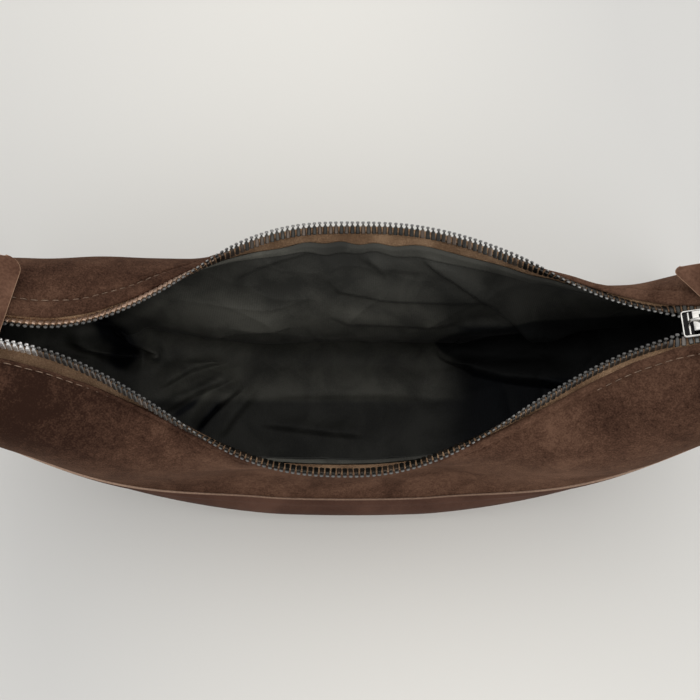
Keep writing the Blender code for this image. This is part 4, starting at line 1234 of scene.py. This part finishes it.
# Ends of the zip: a short patch of the same twill under both panels, past each end of the teeth.
zip_end_length = 0.0100
zip_end_gap = 0.0020
zip_end_hidden = 0.0060
zip_end_showing = 0.0012
zip_end_ribs = 14
zip_end_columns = 8
zip_end_pattern = 0.02
for hand, name in ((-1, "zip_end_left"), (1, "zip_end_right")):
    patch_x = zip_half_length + zip_end_gap + zip_end_length * np.linspace(0.0, 1.0, zip_end_ribs)
    shares = hand * np.interp(patch_x, top_path[1], top_path[0])
    hidden = np.tile(np.linspace(zip_end_hidden, zip_end_showing, zip_end_columns), (zip_end_ribs, 1))
    halves = []
    for side in (-1, 1):
        grid, outward = laid_on_panel(side, shares, hidden)
        halves.append(grid - hand * outward * (panel_thickness + tape_clearance))
    grid = np.concatenate([halves[0], halves[1][:, ::-1]], axis=1)
    up_patch = np.linspace(0.0, zip_end_pattern, grid.shape[1])
    uv = np.stack(np.meshgrid(patch_x, up_patch, indexing="ij"), axis=-1)
    piece = new_piece(name + "_twill", grid, grid_faces(*grid.shape[:2], turned=hand < 0), tan_twill, uv=uv)
    dress(thickened(piece, tape_thickness), "bag", "zip_tape", name)

# Teeth: about 130 cast metal teeth a row. Each has two jaws clamped over the tape's cord, a narrow
# neck, and a broad head with a rounded tip that locks into the other row.
tooth_pitch = 0.0028
row_end_bare = 0.0040
tooth_sides = 8
tooth_squareness = 0.55
tooth_lean = 0.035
jaw_stations = 4
tip_stations = 3
# Painted highlights on the teeth, as pale metal: on the tips, on the jaws' sides, on the first teeth at the
# front's left end, and fainter along the front's two ends.
tip_painted_highlight = {-1: 0.17, 1: 0.22}
flank_painted_highlight = 0.05
copper_steps = {-1: (), 1: ((-1, 0.90, 0.055, 0.050),)}
copper_spread = 0.15
front_end_brightening_steps = ((-1, 0.12, 0.065, 0.030), (1, 0.12, 0.060, 0.030))
neck_brightening_share = 0.3
first_teeth_highlight_steps = ((-1, 0.95, 0.140, 0.005),)
back_brightening = 0.03
tooth_step = 0.0005
flank_from = 0.7
painted_highlight_colour = (0.80, 0.79, 0.77, 1.0)

# Each station has its place along the tooth, from the jaws to the tip, its half width and half height.
tooth_stations = (
    (-0.00320, 0.00100, 0.00080),
    (-0.00300, 0.00112, 0.00100),
    (-0.00040, 0.00112, 0.00108),
    (0.00090, 0.00094, 0.00100),
    (0.00140, 0.00048, 0.00056),
    (0.00200, 0.00040, 0.00030),
    (0.00218, 0.00090, 0.00040),
    (0.00284, 0.00094, 0.00044),
    (0.00322, 0.00062, 0.00034),
)


def metal_finish(name, dark, light, rough_low, rough_high, tint=None):
    """Plated metal: slightly clouded, with a roughness that wanders and fine rubbed scratches.

    Where a first mark is above 0 the metal takes on the tint: a copper tint on the teeth, and painted
    shade in the slider's recess. Where a second mark is above 0 it is painted pale, as a highlight.
    """
    material, tree, shader = blank_finish(name)
    place = object_place(tree)
    clouds = mottle(tree, place, 260.0, 3.0)
    colour = tones(tree, clouds, [(0.35, dark), (0.65, light)])
    if tint is not None:
        colour = mixed(tree, marked(tree, "copper_and_painted_shade"), colour, (*tint, 1.0))
        colour = mixed(tree, marked(tree, "painted_highlight"), colour, painted_highlight_colour)
    wander = mottle(tree, place, 900.0, 4.0, 0.7)
    rough = node(tree, "ShaderNodeMapRange", {"Value": wander, "To Min": rough_low, "To Max": rough_high})
    tree.links.new(rough.outputs["Result"], shader.inputs["Roughness"])
    bumped(tree, shader, wander, 0.00008, 0.4)
    coated(tree, shader, colour, {"Metallic": 1.0})
    return material


tooth_dark = (0.010, 0.0095, 0.008)
tooth_light = (0.034, 0.032, 0.028)
copper_tint = (0.62, 0.420, 0.300)
bright_dark = (0.42, 0.41, 0.39)
bright_light = (0.66, 0.64, 0.61)
tooth_metal = metal_finish("tooth_metal", tooth_dark, tooth_light, 0.32, 0.50, copper_tint)
bright_metal = metal_finish("bright_metal", bright_dark, bright_light, 0.14, 0.28)
tooth_turn = 2.0 * math.pi * (np.arange(tooth_sides) + 0.5) / tooth_sides


def squarer(values):
    """Sines or cosines, v, made squarer: v to a power below 1, with its sign kept."""
    return np.sign(values) * np.abs(values) ** tooth_squareness


def tooth_shape():
    """One tooth: at each station w cos t across and h sin t up, with the cosine and sine squarer."""
    stations = np.array(tooth_stations)
    forward = np.repeat(stations[:, 0:1], tooth_sides, axis=1)
    wide = stations[:, 1:2] * squarer(np.cos(tooth_turn))
    high = stations[:, 2:3] * squarer(np.sin(tooth_turn))
    corners = np.stack([forward, wide, high], axis=-1)
    return corners.reshape(-1, 3), loop_faces(len(stations), tooth_sides, True)


row_xs = np.linspace(-zip_half_length, zip_half_length, 3000)
rows_of_points = {side: row_frame(side, row_xs)[0] for side in (-1, 1)}
mean_row = 0.5 * (line_length(rows_of_points[-1]) + line_length(rows_of_points[1]))
tooth_count = int((mean_row - 2.0 * row_end_bare) / tooth_pitch)
station = np.repeat(np.arange(len(tooth_stations)), tooth_sides)
jaws = (station < jaw_stations).astype(float)
tip = station >= len(tooth_stations) - tip_stations
flank = np.tile(np.abs(np.cos(tooth_turn)) > flank_from, len(tooth_stations))
chance = np.random.default_rng(7)
for side, name in ((-1, "teeth_front"), (1, "teeth_back")):
    row = rows_of_points[side]
    own_pitch = (line_length(row) - 2.0 * row_end_bare) / tooth_count
    xs = along_line(row, row_end_bare + (np.arange(tooth_count) + 0.5) * own_pitch)[:, 0]
    point, direction = row_frame(side, xs)[:2]
    ahead = row_frame(side, xs + tooth_step)[0] - row_frame(side, xs - tooth_step)[0]
    ahead = unit(ahead - direction * np.sum(ahead * direction, axis=-1, keepdims=True))
    upward = np.cross(direction, ahead)
    direction = unit(direction + ahead * chance.normal(0.0, tooth_lean, (tooth_count, 1)))
    ahead = np.cross(upward, direction)
    points, faces = repeated(tooth_shape(), point, direction, ahead, upward)
    copper = eased_steps(xs, copper_steps[side]) + chance.uniform(-copper_spread, copper_spread, tooth_count)
    copper_and_painted_shade = np.clip(copper, 0.0, 1.0)[:, None] * jaws
    if side < 0:
        painted_highlight = eased_steps(xs[:, None], front_end_brightening_steps) * (neck_brightening_share + (1.0 - neck_brightening_share) * jaws)
        painted_highlight = np.maximum(painted_highlight, eased_steps(xs[:, None], first_teeth_highlight_steps))
    else:
        painted_highlight = np.full((tooth_count, 1), back_brightening)
    painted_highlight = np.maximum(painted_highlight, tip_painted_highlight[side] * tip + flank_painted_highlight * flank * jaws)
    marks = {"copper_and_painted_shade": copper_and_painted_shade, "painted_highlight": painted_highlight}
    piece = new_piece(name + "_metal", points, faces, tooth_metal, marks=marks, smooth=False)
    dress(piece, "bag", "zip_metal", name)

for name in ("top_stop_front", "top_stop_back", "bottom_stop"):
    refinished(name, bright_metal)

# Slider: a cast body that runs on both rows, of two plates joined by a neck. The upper one is a
# rimmed rectangle with a crossbar, on which a wire bail stands. Both are bright plated metal, with
# painted shade, near black, down in the upper plate's recess.


def facing_out(piece):
    """Turn the faces of a closed piece outwards."""
    shape = bmesh.new()
    shape.from_mesh(piece.data)
    bmesh.ops.recalc_face_normals(shape, faces=shape.faces[:])
    shape.to_mesh(piece.data)
    shape.free()
    return piece


wire_sides = 16


def swept(name, centres, sideways, upward, radius, finish, closed):
    """Carry a round section along a line of points: c + s r cos t + u r sin t."""
    turn = 2.0 * math.pi * np.arange(wire_sides) / wire_sides
    grid = centres[:, None, :] + sideways[:, None, :] * (radius * np.cos(turn))[:, None]
    grid = grid + upward[:, None, :] * (radius * np.sin(turn))[:, None]
    if closed:
        faces = grid_faces(len(centres) + 1, wire_sides, closed=True) % (len(centres) * wire_sides)
    else:
        faces = loop_faces(*grid.shape[:2], False)
    return facing_out(new_piece(name, grid, faces, finish))


slider_length = 0.0126
slider_width = 0.0128
slider_plate = 0.0012
slider_slot = 0.0040
slider_rest_x = 0.1558
slider_axis = unit(np.array([-0.01176, 0.99993, 0.0]))
slider_path_centre = np.array([-0.00241, 0.00162, 0.53796])
slider_middle = np.array([slider_rest_x, float(centre_y(slider_rest_x)), float(top_height(slider_rest_x))])
slider_up = unit(slider_path_centre - slider_middle)
slider_forward = np.cross(slider_axis, slider_up)
slider_axes = np.stack([slider_forward, slider_axis, slider_up])
crossbar_place = -0.0031


def rounded_outline(half_length, half_width, radius, steps):
    """Outline of a rectangle with round corners, and the way out at each of its points."""
    quarter = np.repeat(np.arange(4), steps)
    turn = 0.5 * math.pi * (quarter + np.tile(np.linspace(0.0, 1.0, steps), 4))
    out = np.stack([np.cos(turn), np.sin(turn)], axis=-1)
    signs = np.array([(1.0, 1.0), (-1.0, 1.0), (-1.0, -1.0), (1.0, -1.0)])[quarter]
    return signs * (np.array([half_length, half_width]) - radius) + radius * out, out


slider_corner_steps = 5
least_corner = 0.0001


def rounded_block(middle, length, width, corner, levels):
    """Loops of a rounded rectangle, each level an inset and a height, from the underside to the top."""
    loops = []
    for inset, height in levels:
        radius = max(corner - inset, least_corner)
        half_length, half_width = 0.5 * length - inset, 0.5 * width - inset
        outline = rounded_outline(half_length, half_width, radius, slider_corner_steps)[0]
        loops.append(np.concatenate([outline, np.full((len(outline), 1), height)], axis=1) + middle)
    return np.stack(loops)


half_plate = 0.5 * slider_plate
plate_place = 0.5 * slider_slot + half_plate
rim_levels = (
    (0.0003, -half_plate), (0.0, -half_plate + 0.0003), (0.0, half_plate - 0.0003), (0.0003, half_plate),
    (0.0007, half_plate), (0.0009, half_plate - 0.0002), (0.0010, half_plate - 0.0008),
)
plain_levels = rim_levels[:4]
bar_levels = ((0.0, -0.0006), (0.0, 0.0004), (0.0002, 0.0006))
neck_levels = ((0.0, -0.5 * slider_slot), (0.0, 0.5 * slider_slot))
neck_place = -0.5 * slider_length + 0.0017

# The rimmed plate, the lower plate, the crossbar, the bail's right foot and the neck, each with its
# first loop of painted shade. Only the rimmed plate has loops of painted shade, down in its recess.
blocks = (
    (rounded_block((0.0, 0.0, plate_place), slider_length, slider_width, 0.0016, rim_levels), 5),
    (rounded_block((0.0, 0.0, -plate_place), slider_length, slider_width, 0.0030, plain_levels), 9),
    (rounded_block((crossbar_place, 0.0, plate_place), 0.0009, slider_width - 0.0022, 0.0002, bar_levels), 9),
    (rounded_block((0.0035, 0.0, plate_place), 0.0014, 0.0026, 0.0005, bar_levels), 9),
    (rounded_block((neck_place, 0.0, 0.0), 0.0030, 0.0022, 0.0008, neck_levels), 9),
)
points, faces, dark = [], [], []
for loops, first_painted_shade_loop in blocks:
    rows, columns = loops.shape[:2]
    offset = sum(len(part) for part in points)
    faces += [tuple(k + offset for k in face) for face in loop_faces(rows, columns, False)]
    points.append(slider_middle + loops.reshape(-1, 3) @ slider_axes)
    dark.append(np.repeat(np.arange(rows) >= first_painted_shade_loop, columns).astype(float))
shadowed = (0.010, 0.010, 0.010)
slider_metal = metal_finish("slider_metal", bright_dark, bright_light, 0.14, 0.28, shadowed)
marks = {"copper_and_painted_shade": np.concatenate(dark)}
piece = new_piece("slider_body_cast", np.concatenate(points), faces, slider_metal, marks=marks, smooth=False)
dress(facing_out(piece), "slider", "bright_metal", "slider_body")

bail_wire = 0.0013
bail_feet = (crossbar_place, 0.0039)
bail_foot = 0.5 * slider_slot + slider_plate
bail_height = 0.0043
turn = np.linspace(0.0, math.pi, 25)
bail_run = 0.5 * (sum(bail_feet) - (bail_feet[1] - bail_feet[0]) * np.cos(turn))
bail_rise = bail_foot + bail_height * np.sin(turn) ** 0.7
centres = slider_middle + bail_run[:, None] * slider_forward + bail_rise[:, None] * slider_up
ahead = unit(np.gradient(centres, axis=0))
sideways = np.tile(slider_axis, (len(centres), 1))
upward = np.cross(ahead, sideways)
piece = swept("slider_bail_wire", centres, sideways, upward, 0.5 * bail_wire, bright_metal, closed=False)
dress(piece, "slider", "bright_metal", "slider_bail")

# Pull: a flat bar frame with a crossbar, cut from plate and tumbled smooth, that hangs on the bail.
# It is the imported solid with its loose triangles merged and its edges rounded.
pull_rounding = 0.00025


def rounded_edges(piece, width, segments, degrees):
    """Round a piece's edges where its faces turn by more than an angle."""
    edges = piece.modifiers.new("rounded_edges", "BEVEL")
    edges.width = width
    edges.segments = segments
    edges.limit_method = "ANGLE"
    edges.angle_limit = math.radians(degrees)
    return edges


mesh = nodes["pull_tab"].data.copy()
mesh.name = "pull_tab_plated"
shape = bmesh.new()
shape.from_mesh(mesh)
bmesh.ops.remove_doubles(shape, verts=shape.verts[:], dist=0.000002)
bmesh.ops.dissolve_limit(shape, angle_limit=math.radians(4.0), verts=shape.verts[:], edges=shape.edges[:])
shape.to_mesh(mesh)
shape.free()
mesh.materials.clear()
mesh.materials.append(bright_metal)
mesh.polygons.foreach_set("use_smooth", np.full(len(mesh.polygons), True))
piece = bpy.data.objects.new("pull_tab_plated", mesh)
bpy.context.scene.collection.objects.link(piece)
rounded_edges(piece, pull_rounding, 3, 35.0).harden_normals = True
dress(piece, "pull", "bright_metal", "pull_tab")

# Strap tabs: a tongue of dark suede leather on each end of the bag, over the end of the zip. Its
# cut edges are raw and a line of stitches runs round it. Outside the bag it folds round a ring.
tab_half_width = 0.0245
tab_centre_y = 0.0075
tab_thickness = 0.0020
tab_corner_radii = {-1: 0.0070, 1: 0.0034}
tab_ends = {-1: 0.1535, 1: 0.1626}
tab_skews = {-1: 0.14, 1: 0.60}
tab_drift = 0.0022
tab_cut_x = 0.2100
tab_under_drop = 0.0300
tab_lift = 0.0025
tab_under_lift = 0.0004
tab_drift_from = 0.175
tab_groove = 0.00035
tab_groove_width = 0.0010
tab_crown = 0.0005
tab_crown_run = 0.010
tab_edge_swell = 0.0003
tab_level_run = 0.008
tab_under_bend = 0.0018
tab_under_from = 0.006
tab_under_step = 0.004
tab_border = 0.005
tab_stitch_inset = {-1: 0.0052, 1: 0.0034}
tab_stitch_pitch = 0.0042
tab_stitch_rise = 0.00012
tab_stitch_slack = 0.00001
leather_rounding = 0.00035
ring_wire = 0.0038
ring_end_gap = 0.0015
cut_slit = 0.00004
ring_bar = 0.5 * ring_wire
fold_radius = ring_bar + clearance + 0.5 * tab_thickness
ring_centre_x = tab_cut_x + fold_radius + ring_end_gap
tab_level = float(top_height(tab_cut_x)) + tab_lift + 0.5 * tab_thickness
ring_centre_z = tab_level - fold_radius

tab_dark = (0.062, 0.0285, 0.0175)
tab_middle = (0.108, 0.0545, 0.0345)
tab_light = (0.160, 0.0850, 0.0550)
tab_raw = (0.360, 0.225, 0.145)
tab_leather = leather_finish("tab_leather", tab_dark, tab_middle, tab_light, tab_raw)


def bordered(count, border):
    """Places from 0 to 1 with one more close to each end, for a mark that stays on the edge."""
    return np.concatenate([[0.0], np.linspace(border, 1.0 - border, count - 2), [1.0]])


def cut_leather(name, grid, thickness, offset, turned, *joined):
    """A piece of cut leather: a grid with a thickness, and slightly rounded edges.

    Its outline is raw, apart from the end rows that are joined to another piece.
    """
    marks = np.zeros(grid.shape[:2])
    marks[[0, -1], :] = marks[:, [0, -1]] = 1.0
    for row in joined:
        marks[row, 1:-1] = 0.0
    faces = grid_faces(*grid.shape[:2], turned=turned)
    piece = thickened(new_piece(name, grid, faces, tab_leather, marks={"raw": marks}), thickness, offset)
    rounded_edges(piece, leather_rounding, 2, 50.0)
    return piece


def tab_begin(hand, across):
    """Distance from the middle of the bag at which a tab begins: a slanting edge with round corners."""
    radius = tab_corner_radii[hand]
    edge = np.maximum(np.abs(across) - (tab_half_width - radius), 0.0)
    rounding = radius - np.sqrt(np.maximum(radius**2 - edge**2, 0.0))
    return tab_ends[hand] - tab_skews[hand] * across + rounding


def tab_top(hand, x, across):
    """Top of a tab: level with the bag's end, slightly crowned between its stitches."""
    inset = tab_stitch_inset[hand]
    slant = math.cos(math.atan(tab_skews[hand]))
    from_edge = np.minimum(tab_half_width - np.abs(across), (x - tab_begin(hand, across)) * slant)
    groove = -tab_groove * np.exp(-(((from_edge - inset) / tab_groove_width) ** 2))
    crown = tab_crown * smooth_step((from_edge - inset) / tab_crown_run)
    crown = crown + tab_edge_swell * np.sin(math.pi * np.clip(from_edge / inset, 0.0, 1.0))
    fade = 1.0 - smooth_step((x - tab_cut_x + tab_level_run) / tab_level_run)
    z = top_height(x) + tab_lift + tab_thickness + (crown + groove) * fade
    drifted = 1.0 - smooth_step((x - tab_drift_from) / (tab_cut_x - tab_drift_from))
    aside = -hand * tab_drift * drifted
    return np.stack([hand * x, tab_centre_y + across + aside, z], axis=-1)


def tab_band(hand, x, z):
    """A band as wide as a tab, with one row for each place x and height z."""
    across = tab_half_width * (2.0 * bordered(40, tab_border) - 1.0)
    parts = (hand * x[:, None], tab_centre_y + across[None, :], z[:, None])
    return np.stack(np.broadcast_arrays(*parts), axis=-1)


for hand, name in ((-1, "left"), (1, "right")):
    across = tab_half_width * (2.0 * bordered(60, tab_border) - 1.0)[None, :]
    start = tab_begin(hand, across)
    x = start + (tab_cut_x - cut_slit - start) * bordered(70, tab_border)[:, None]
    grid = tab_top(hand, x, across + 0.0 * x)
    piece = cut_leather("strap_tab_" + name + "_hide", grid, tab_thickness, -1.0, hand < 0, -1)
    dress(piece, "bag", "strap_leather", "strap_tab_" + name)

    inset = tab_stitch_inset[hand]
    outline_across = tab_half_width * np.linspace(-1.0, 1.0, 200)
    outline = np.stack([tab_begin(hand, outline_across), outline_across], axis=-1)
    side_run = np.linspace(tab_cut_x, outline[0, 0], 60)[:-1]
    lower_side = np.stack([side_run, 0.0 * side_run - tab_half_width], axis=-1)
    upper_run = np.linspace(outline[-1, 0], tab_cut_x, 60)[1:]
    upper_side = np.stack([upper_run, 0.0 * upper_run + tab_half_width], axis=-1)
    outline = np.concatenate([lower_side, outline, upper_side])
    ahead = unit(np.gradient(outline, axis=0))
    inside = outline + inset * np.stack([ahead[:, 1], -ahead[:, 0]], axis=-1)
    inside = inside[np.abs(inside[:, 1]) <= tab_half_width - inset + tab_stitch_slack]
    line = tab_top(hand, inside[:, 0], inside[:, 1]) + np.array([0.0, 0.0, tab_stitch_rise])
    upward = np.tile(np.array([0.0, 0.0, 1.0]), (len(line), 1))
    stitched("strap_tab_" + name + "_stitches", line, upward, tab_stitch_pitch, "bag", "strap_leather")

    under_shares = 1.0 - tab_under_from - np.linspace(0.0, 1.0, 24) * tab_under_drop / low_path[3]
    low_x, low_z = on_path(low_path, under_shares)
    next_x, next_z = on_path(low_path, under_shares - tab_under_step)
    slope = unit(np.stack([next_x - low_x, next_z - low_z], axis=-1))
    lift = clearance + tab_under_lift + 0.5 * tab_thickness
    level_x = [tab_cut_x - cut_slit, tab_cut_x - clearance - tab_under_bend]
    x = np.concatenate([level_x, low_x - slope[:, 1] * lift])
    z = np.concatenate([[ring_centre_z - fold_radius] * 2, low_z + slope[:, 0] * lift])
    grid = tab_band(hand, x, z)
    piece = cut_leather("tab_under_" + name + "_hide", grid, tab_thickness, 0.0, hand > 0, 0)
    dress(piece, "bag", "strap_leather", "tab_under_" + name)

    turn = np.linspace(0.5 * math.pi, -0.5 * math.pi, 26)
    cut_end = [tab_cut_x + cut_slit]
    x = np.concatenate([cut_end, ring_centre_x + fold_radius * np.cos(turn), cut_end])
    z = ring_centre_z + fold_radius * np.concatenate([[1.0], np.sin(turn), [-1.0]])
    grid = tab_band(hand, x, z)
    piece = cut_leather("tab_loop_" + name + "_hide", grid, tab_thickness, 0.0, hand < 0, 0, -1)
    dress(piece, "strap", "strap_leather", "tab_loop_" + name)

# Rings: a rectangle of round plated wire at each end, held in the tab's fold and the strap's fold.
ring_inner_length = 0.0120
ring_side_gap = 0.0015
ring_corner_radius = 0.0045
ring_fall = math.radians(62.0)
ring_span = ring_inner_length + ring_wire
ring_half_width = tab_half_width + ring_side_gap + ring_bar
ring_outline, ring_out = rounded_outline(0.5 * ring_span, ring_half_width, ring_corner_radius, 13)
ring_outline = ring_outline + np.array([0.5 * ring_span, 0.0])
for hand, name in ((-1, "ring_left"), (1, "ring_right")):
    ring_plane = np.array([(hand * math.cos(ring_fall), 0.0, -math.sin(ring_fall)), (0.0, 1.0, 0.0)])
    square = np.array([hand * math.sin(ring_fall), 0.0, math.cos(ring_fall)])
    centres = np.array([hand * ring_centre_x, tab_centre_y, ring_centre_z]) + ring_outline @ ring_plane
    upward = np.tile(square, (len(centres), 1))
    piece = swept(name + "_wire", centres, ring_out @ ring_plane, upward, ring_bar, bright_metal, closed=True)
    dress(piece, "strap", "bright_metal", name)

# Strap: one flat length of the tabs' leather, folded round both rings and sewn back on itself. It
# hangs down at the bag's ends and lies on the table behind the bag. Its edges are cut and raw.
strap_half_width = 0.0220
strap_thickness = 0.0028
strap_fold_length = 0.0300
strap_lie_y = 0.0740
strap_corner_radius = 0.0300
strap_stitch_inset = 0.0040
strap_stitch_pitch = 0.0042
strap_stitch_rise = 0.00008
strap_leg_end = 0.0006
strap_leg_from = 0.003
strap_leg_run = 0.020
strap_leg_apart = 1.03
strap_border = 0.006
strap_fold_radius = ring_bar + clearance + 0.5 * strap_thickness
strap_rest = 0.5 * strap_thickness + clearance
outer_bar_x = ring_centre_x + ring_span * math.cos(ring_fall)
outer_bar_z = ring_centre_z - ring_span * math.sin(ring_fall)
outer_x = outer_bar_x + strap_fold_radius

leg_drop = np.linspace(strap_fold_length, strap_leg_end, 16)
leg_x = outer_bar_x - strap_fold_radius
sewn_x = outer_x - strap_leg_apart * strap_thickness
leg_x = leg_x + (sewn_x - leg_x) * smooth_step((leg_drop - strap_leg_from) / strap_leg_run)
leg = np.stack([leg_x, tab_centre_y + 0.0 * leg_x, outer_bar_z - leg_drop], axis=-1)
turn = np.linspace(math.pi, 0.0, 22)
fold = np.stack([
    outer_bar_x + strap_fold_radius * np.cos(turn), tab_centre_y + 0.0 * turn,
    outer_bar_z + strap_fold_radius * np.sin(turn),
], axis=-1)
drop = outer_bar_z - strap_rest - strap_corner_radius
fall_length = drop + 0.5 * math.pi * strap_corner_radius
run = np.linspace(0.0, fall_length, 100)[1:]
turn = np.maximum(run - drop, 0.0) / strap_corner_radius
fall = np.stack([
    outer_x - strap_corner_radius * (1.0 - np.cos(turn)),
    tab_centre_y + (strap_lie_y - tab_centre_y) * smooth_step(run / fall_length),
    outer_bar_z - np.minimum(run, drop) - strap_corner_radius * np.sin(turn),
], axis=-1)
floor_x = np.linspace(fall[-1, 0], 0.0, 60)[1:]
floor_run = np.stack([floor_x, strap_lie_y + 0.0 * floor_x, strap_rest + 0.0 * floor_x], axis=-1)
right_half = np.concatenate([leg, fold, fall, floor_run])
left_half = right_half[:-1][::-1] * np.array([-1.0, 1.0, 1.0])
strap_line = np.concatenate([right_half, left_half])
tangent = unit(np.gradient(strap_line, axis=0))
strap_across = unit(np.array([0.0, 1.0, 0.0]) - tangent * tangent[:, 1:2])
strap_up = np.cross(strap_across, tangent)
spread = strap_half_width * (2.0 * bordered(44, strap_border) - 1.0)
grid = strap_line[:, None, :] + strap_across[:, None, :] * spread[:, None]
piece = cut_leather("strap_hide", grid, strap_thickness, 0.0, False)
dress(piece, "strap", "strap_leather", "strap")
sewn = slice(len(leg) + len(fold), len(strap_line) - len(leg) - len(fold))
for place, name in ((-1, "strap_stitches_front"), (1, "strap_stitches_back")):
    line = strap_line[sewn] + strap_across[sewn] * place * (strap_half_width - strap_stitch_inset)
    line = line + strap_up[sewn] * (0.5 * strap_thickness + strap_stitch_rise)
    stitched(name, line, strap_up[sewn], strap_stitch_pitch, "strap", "strap_leather")
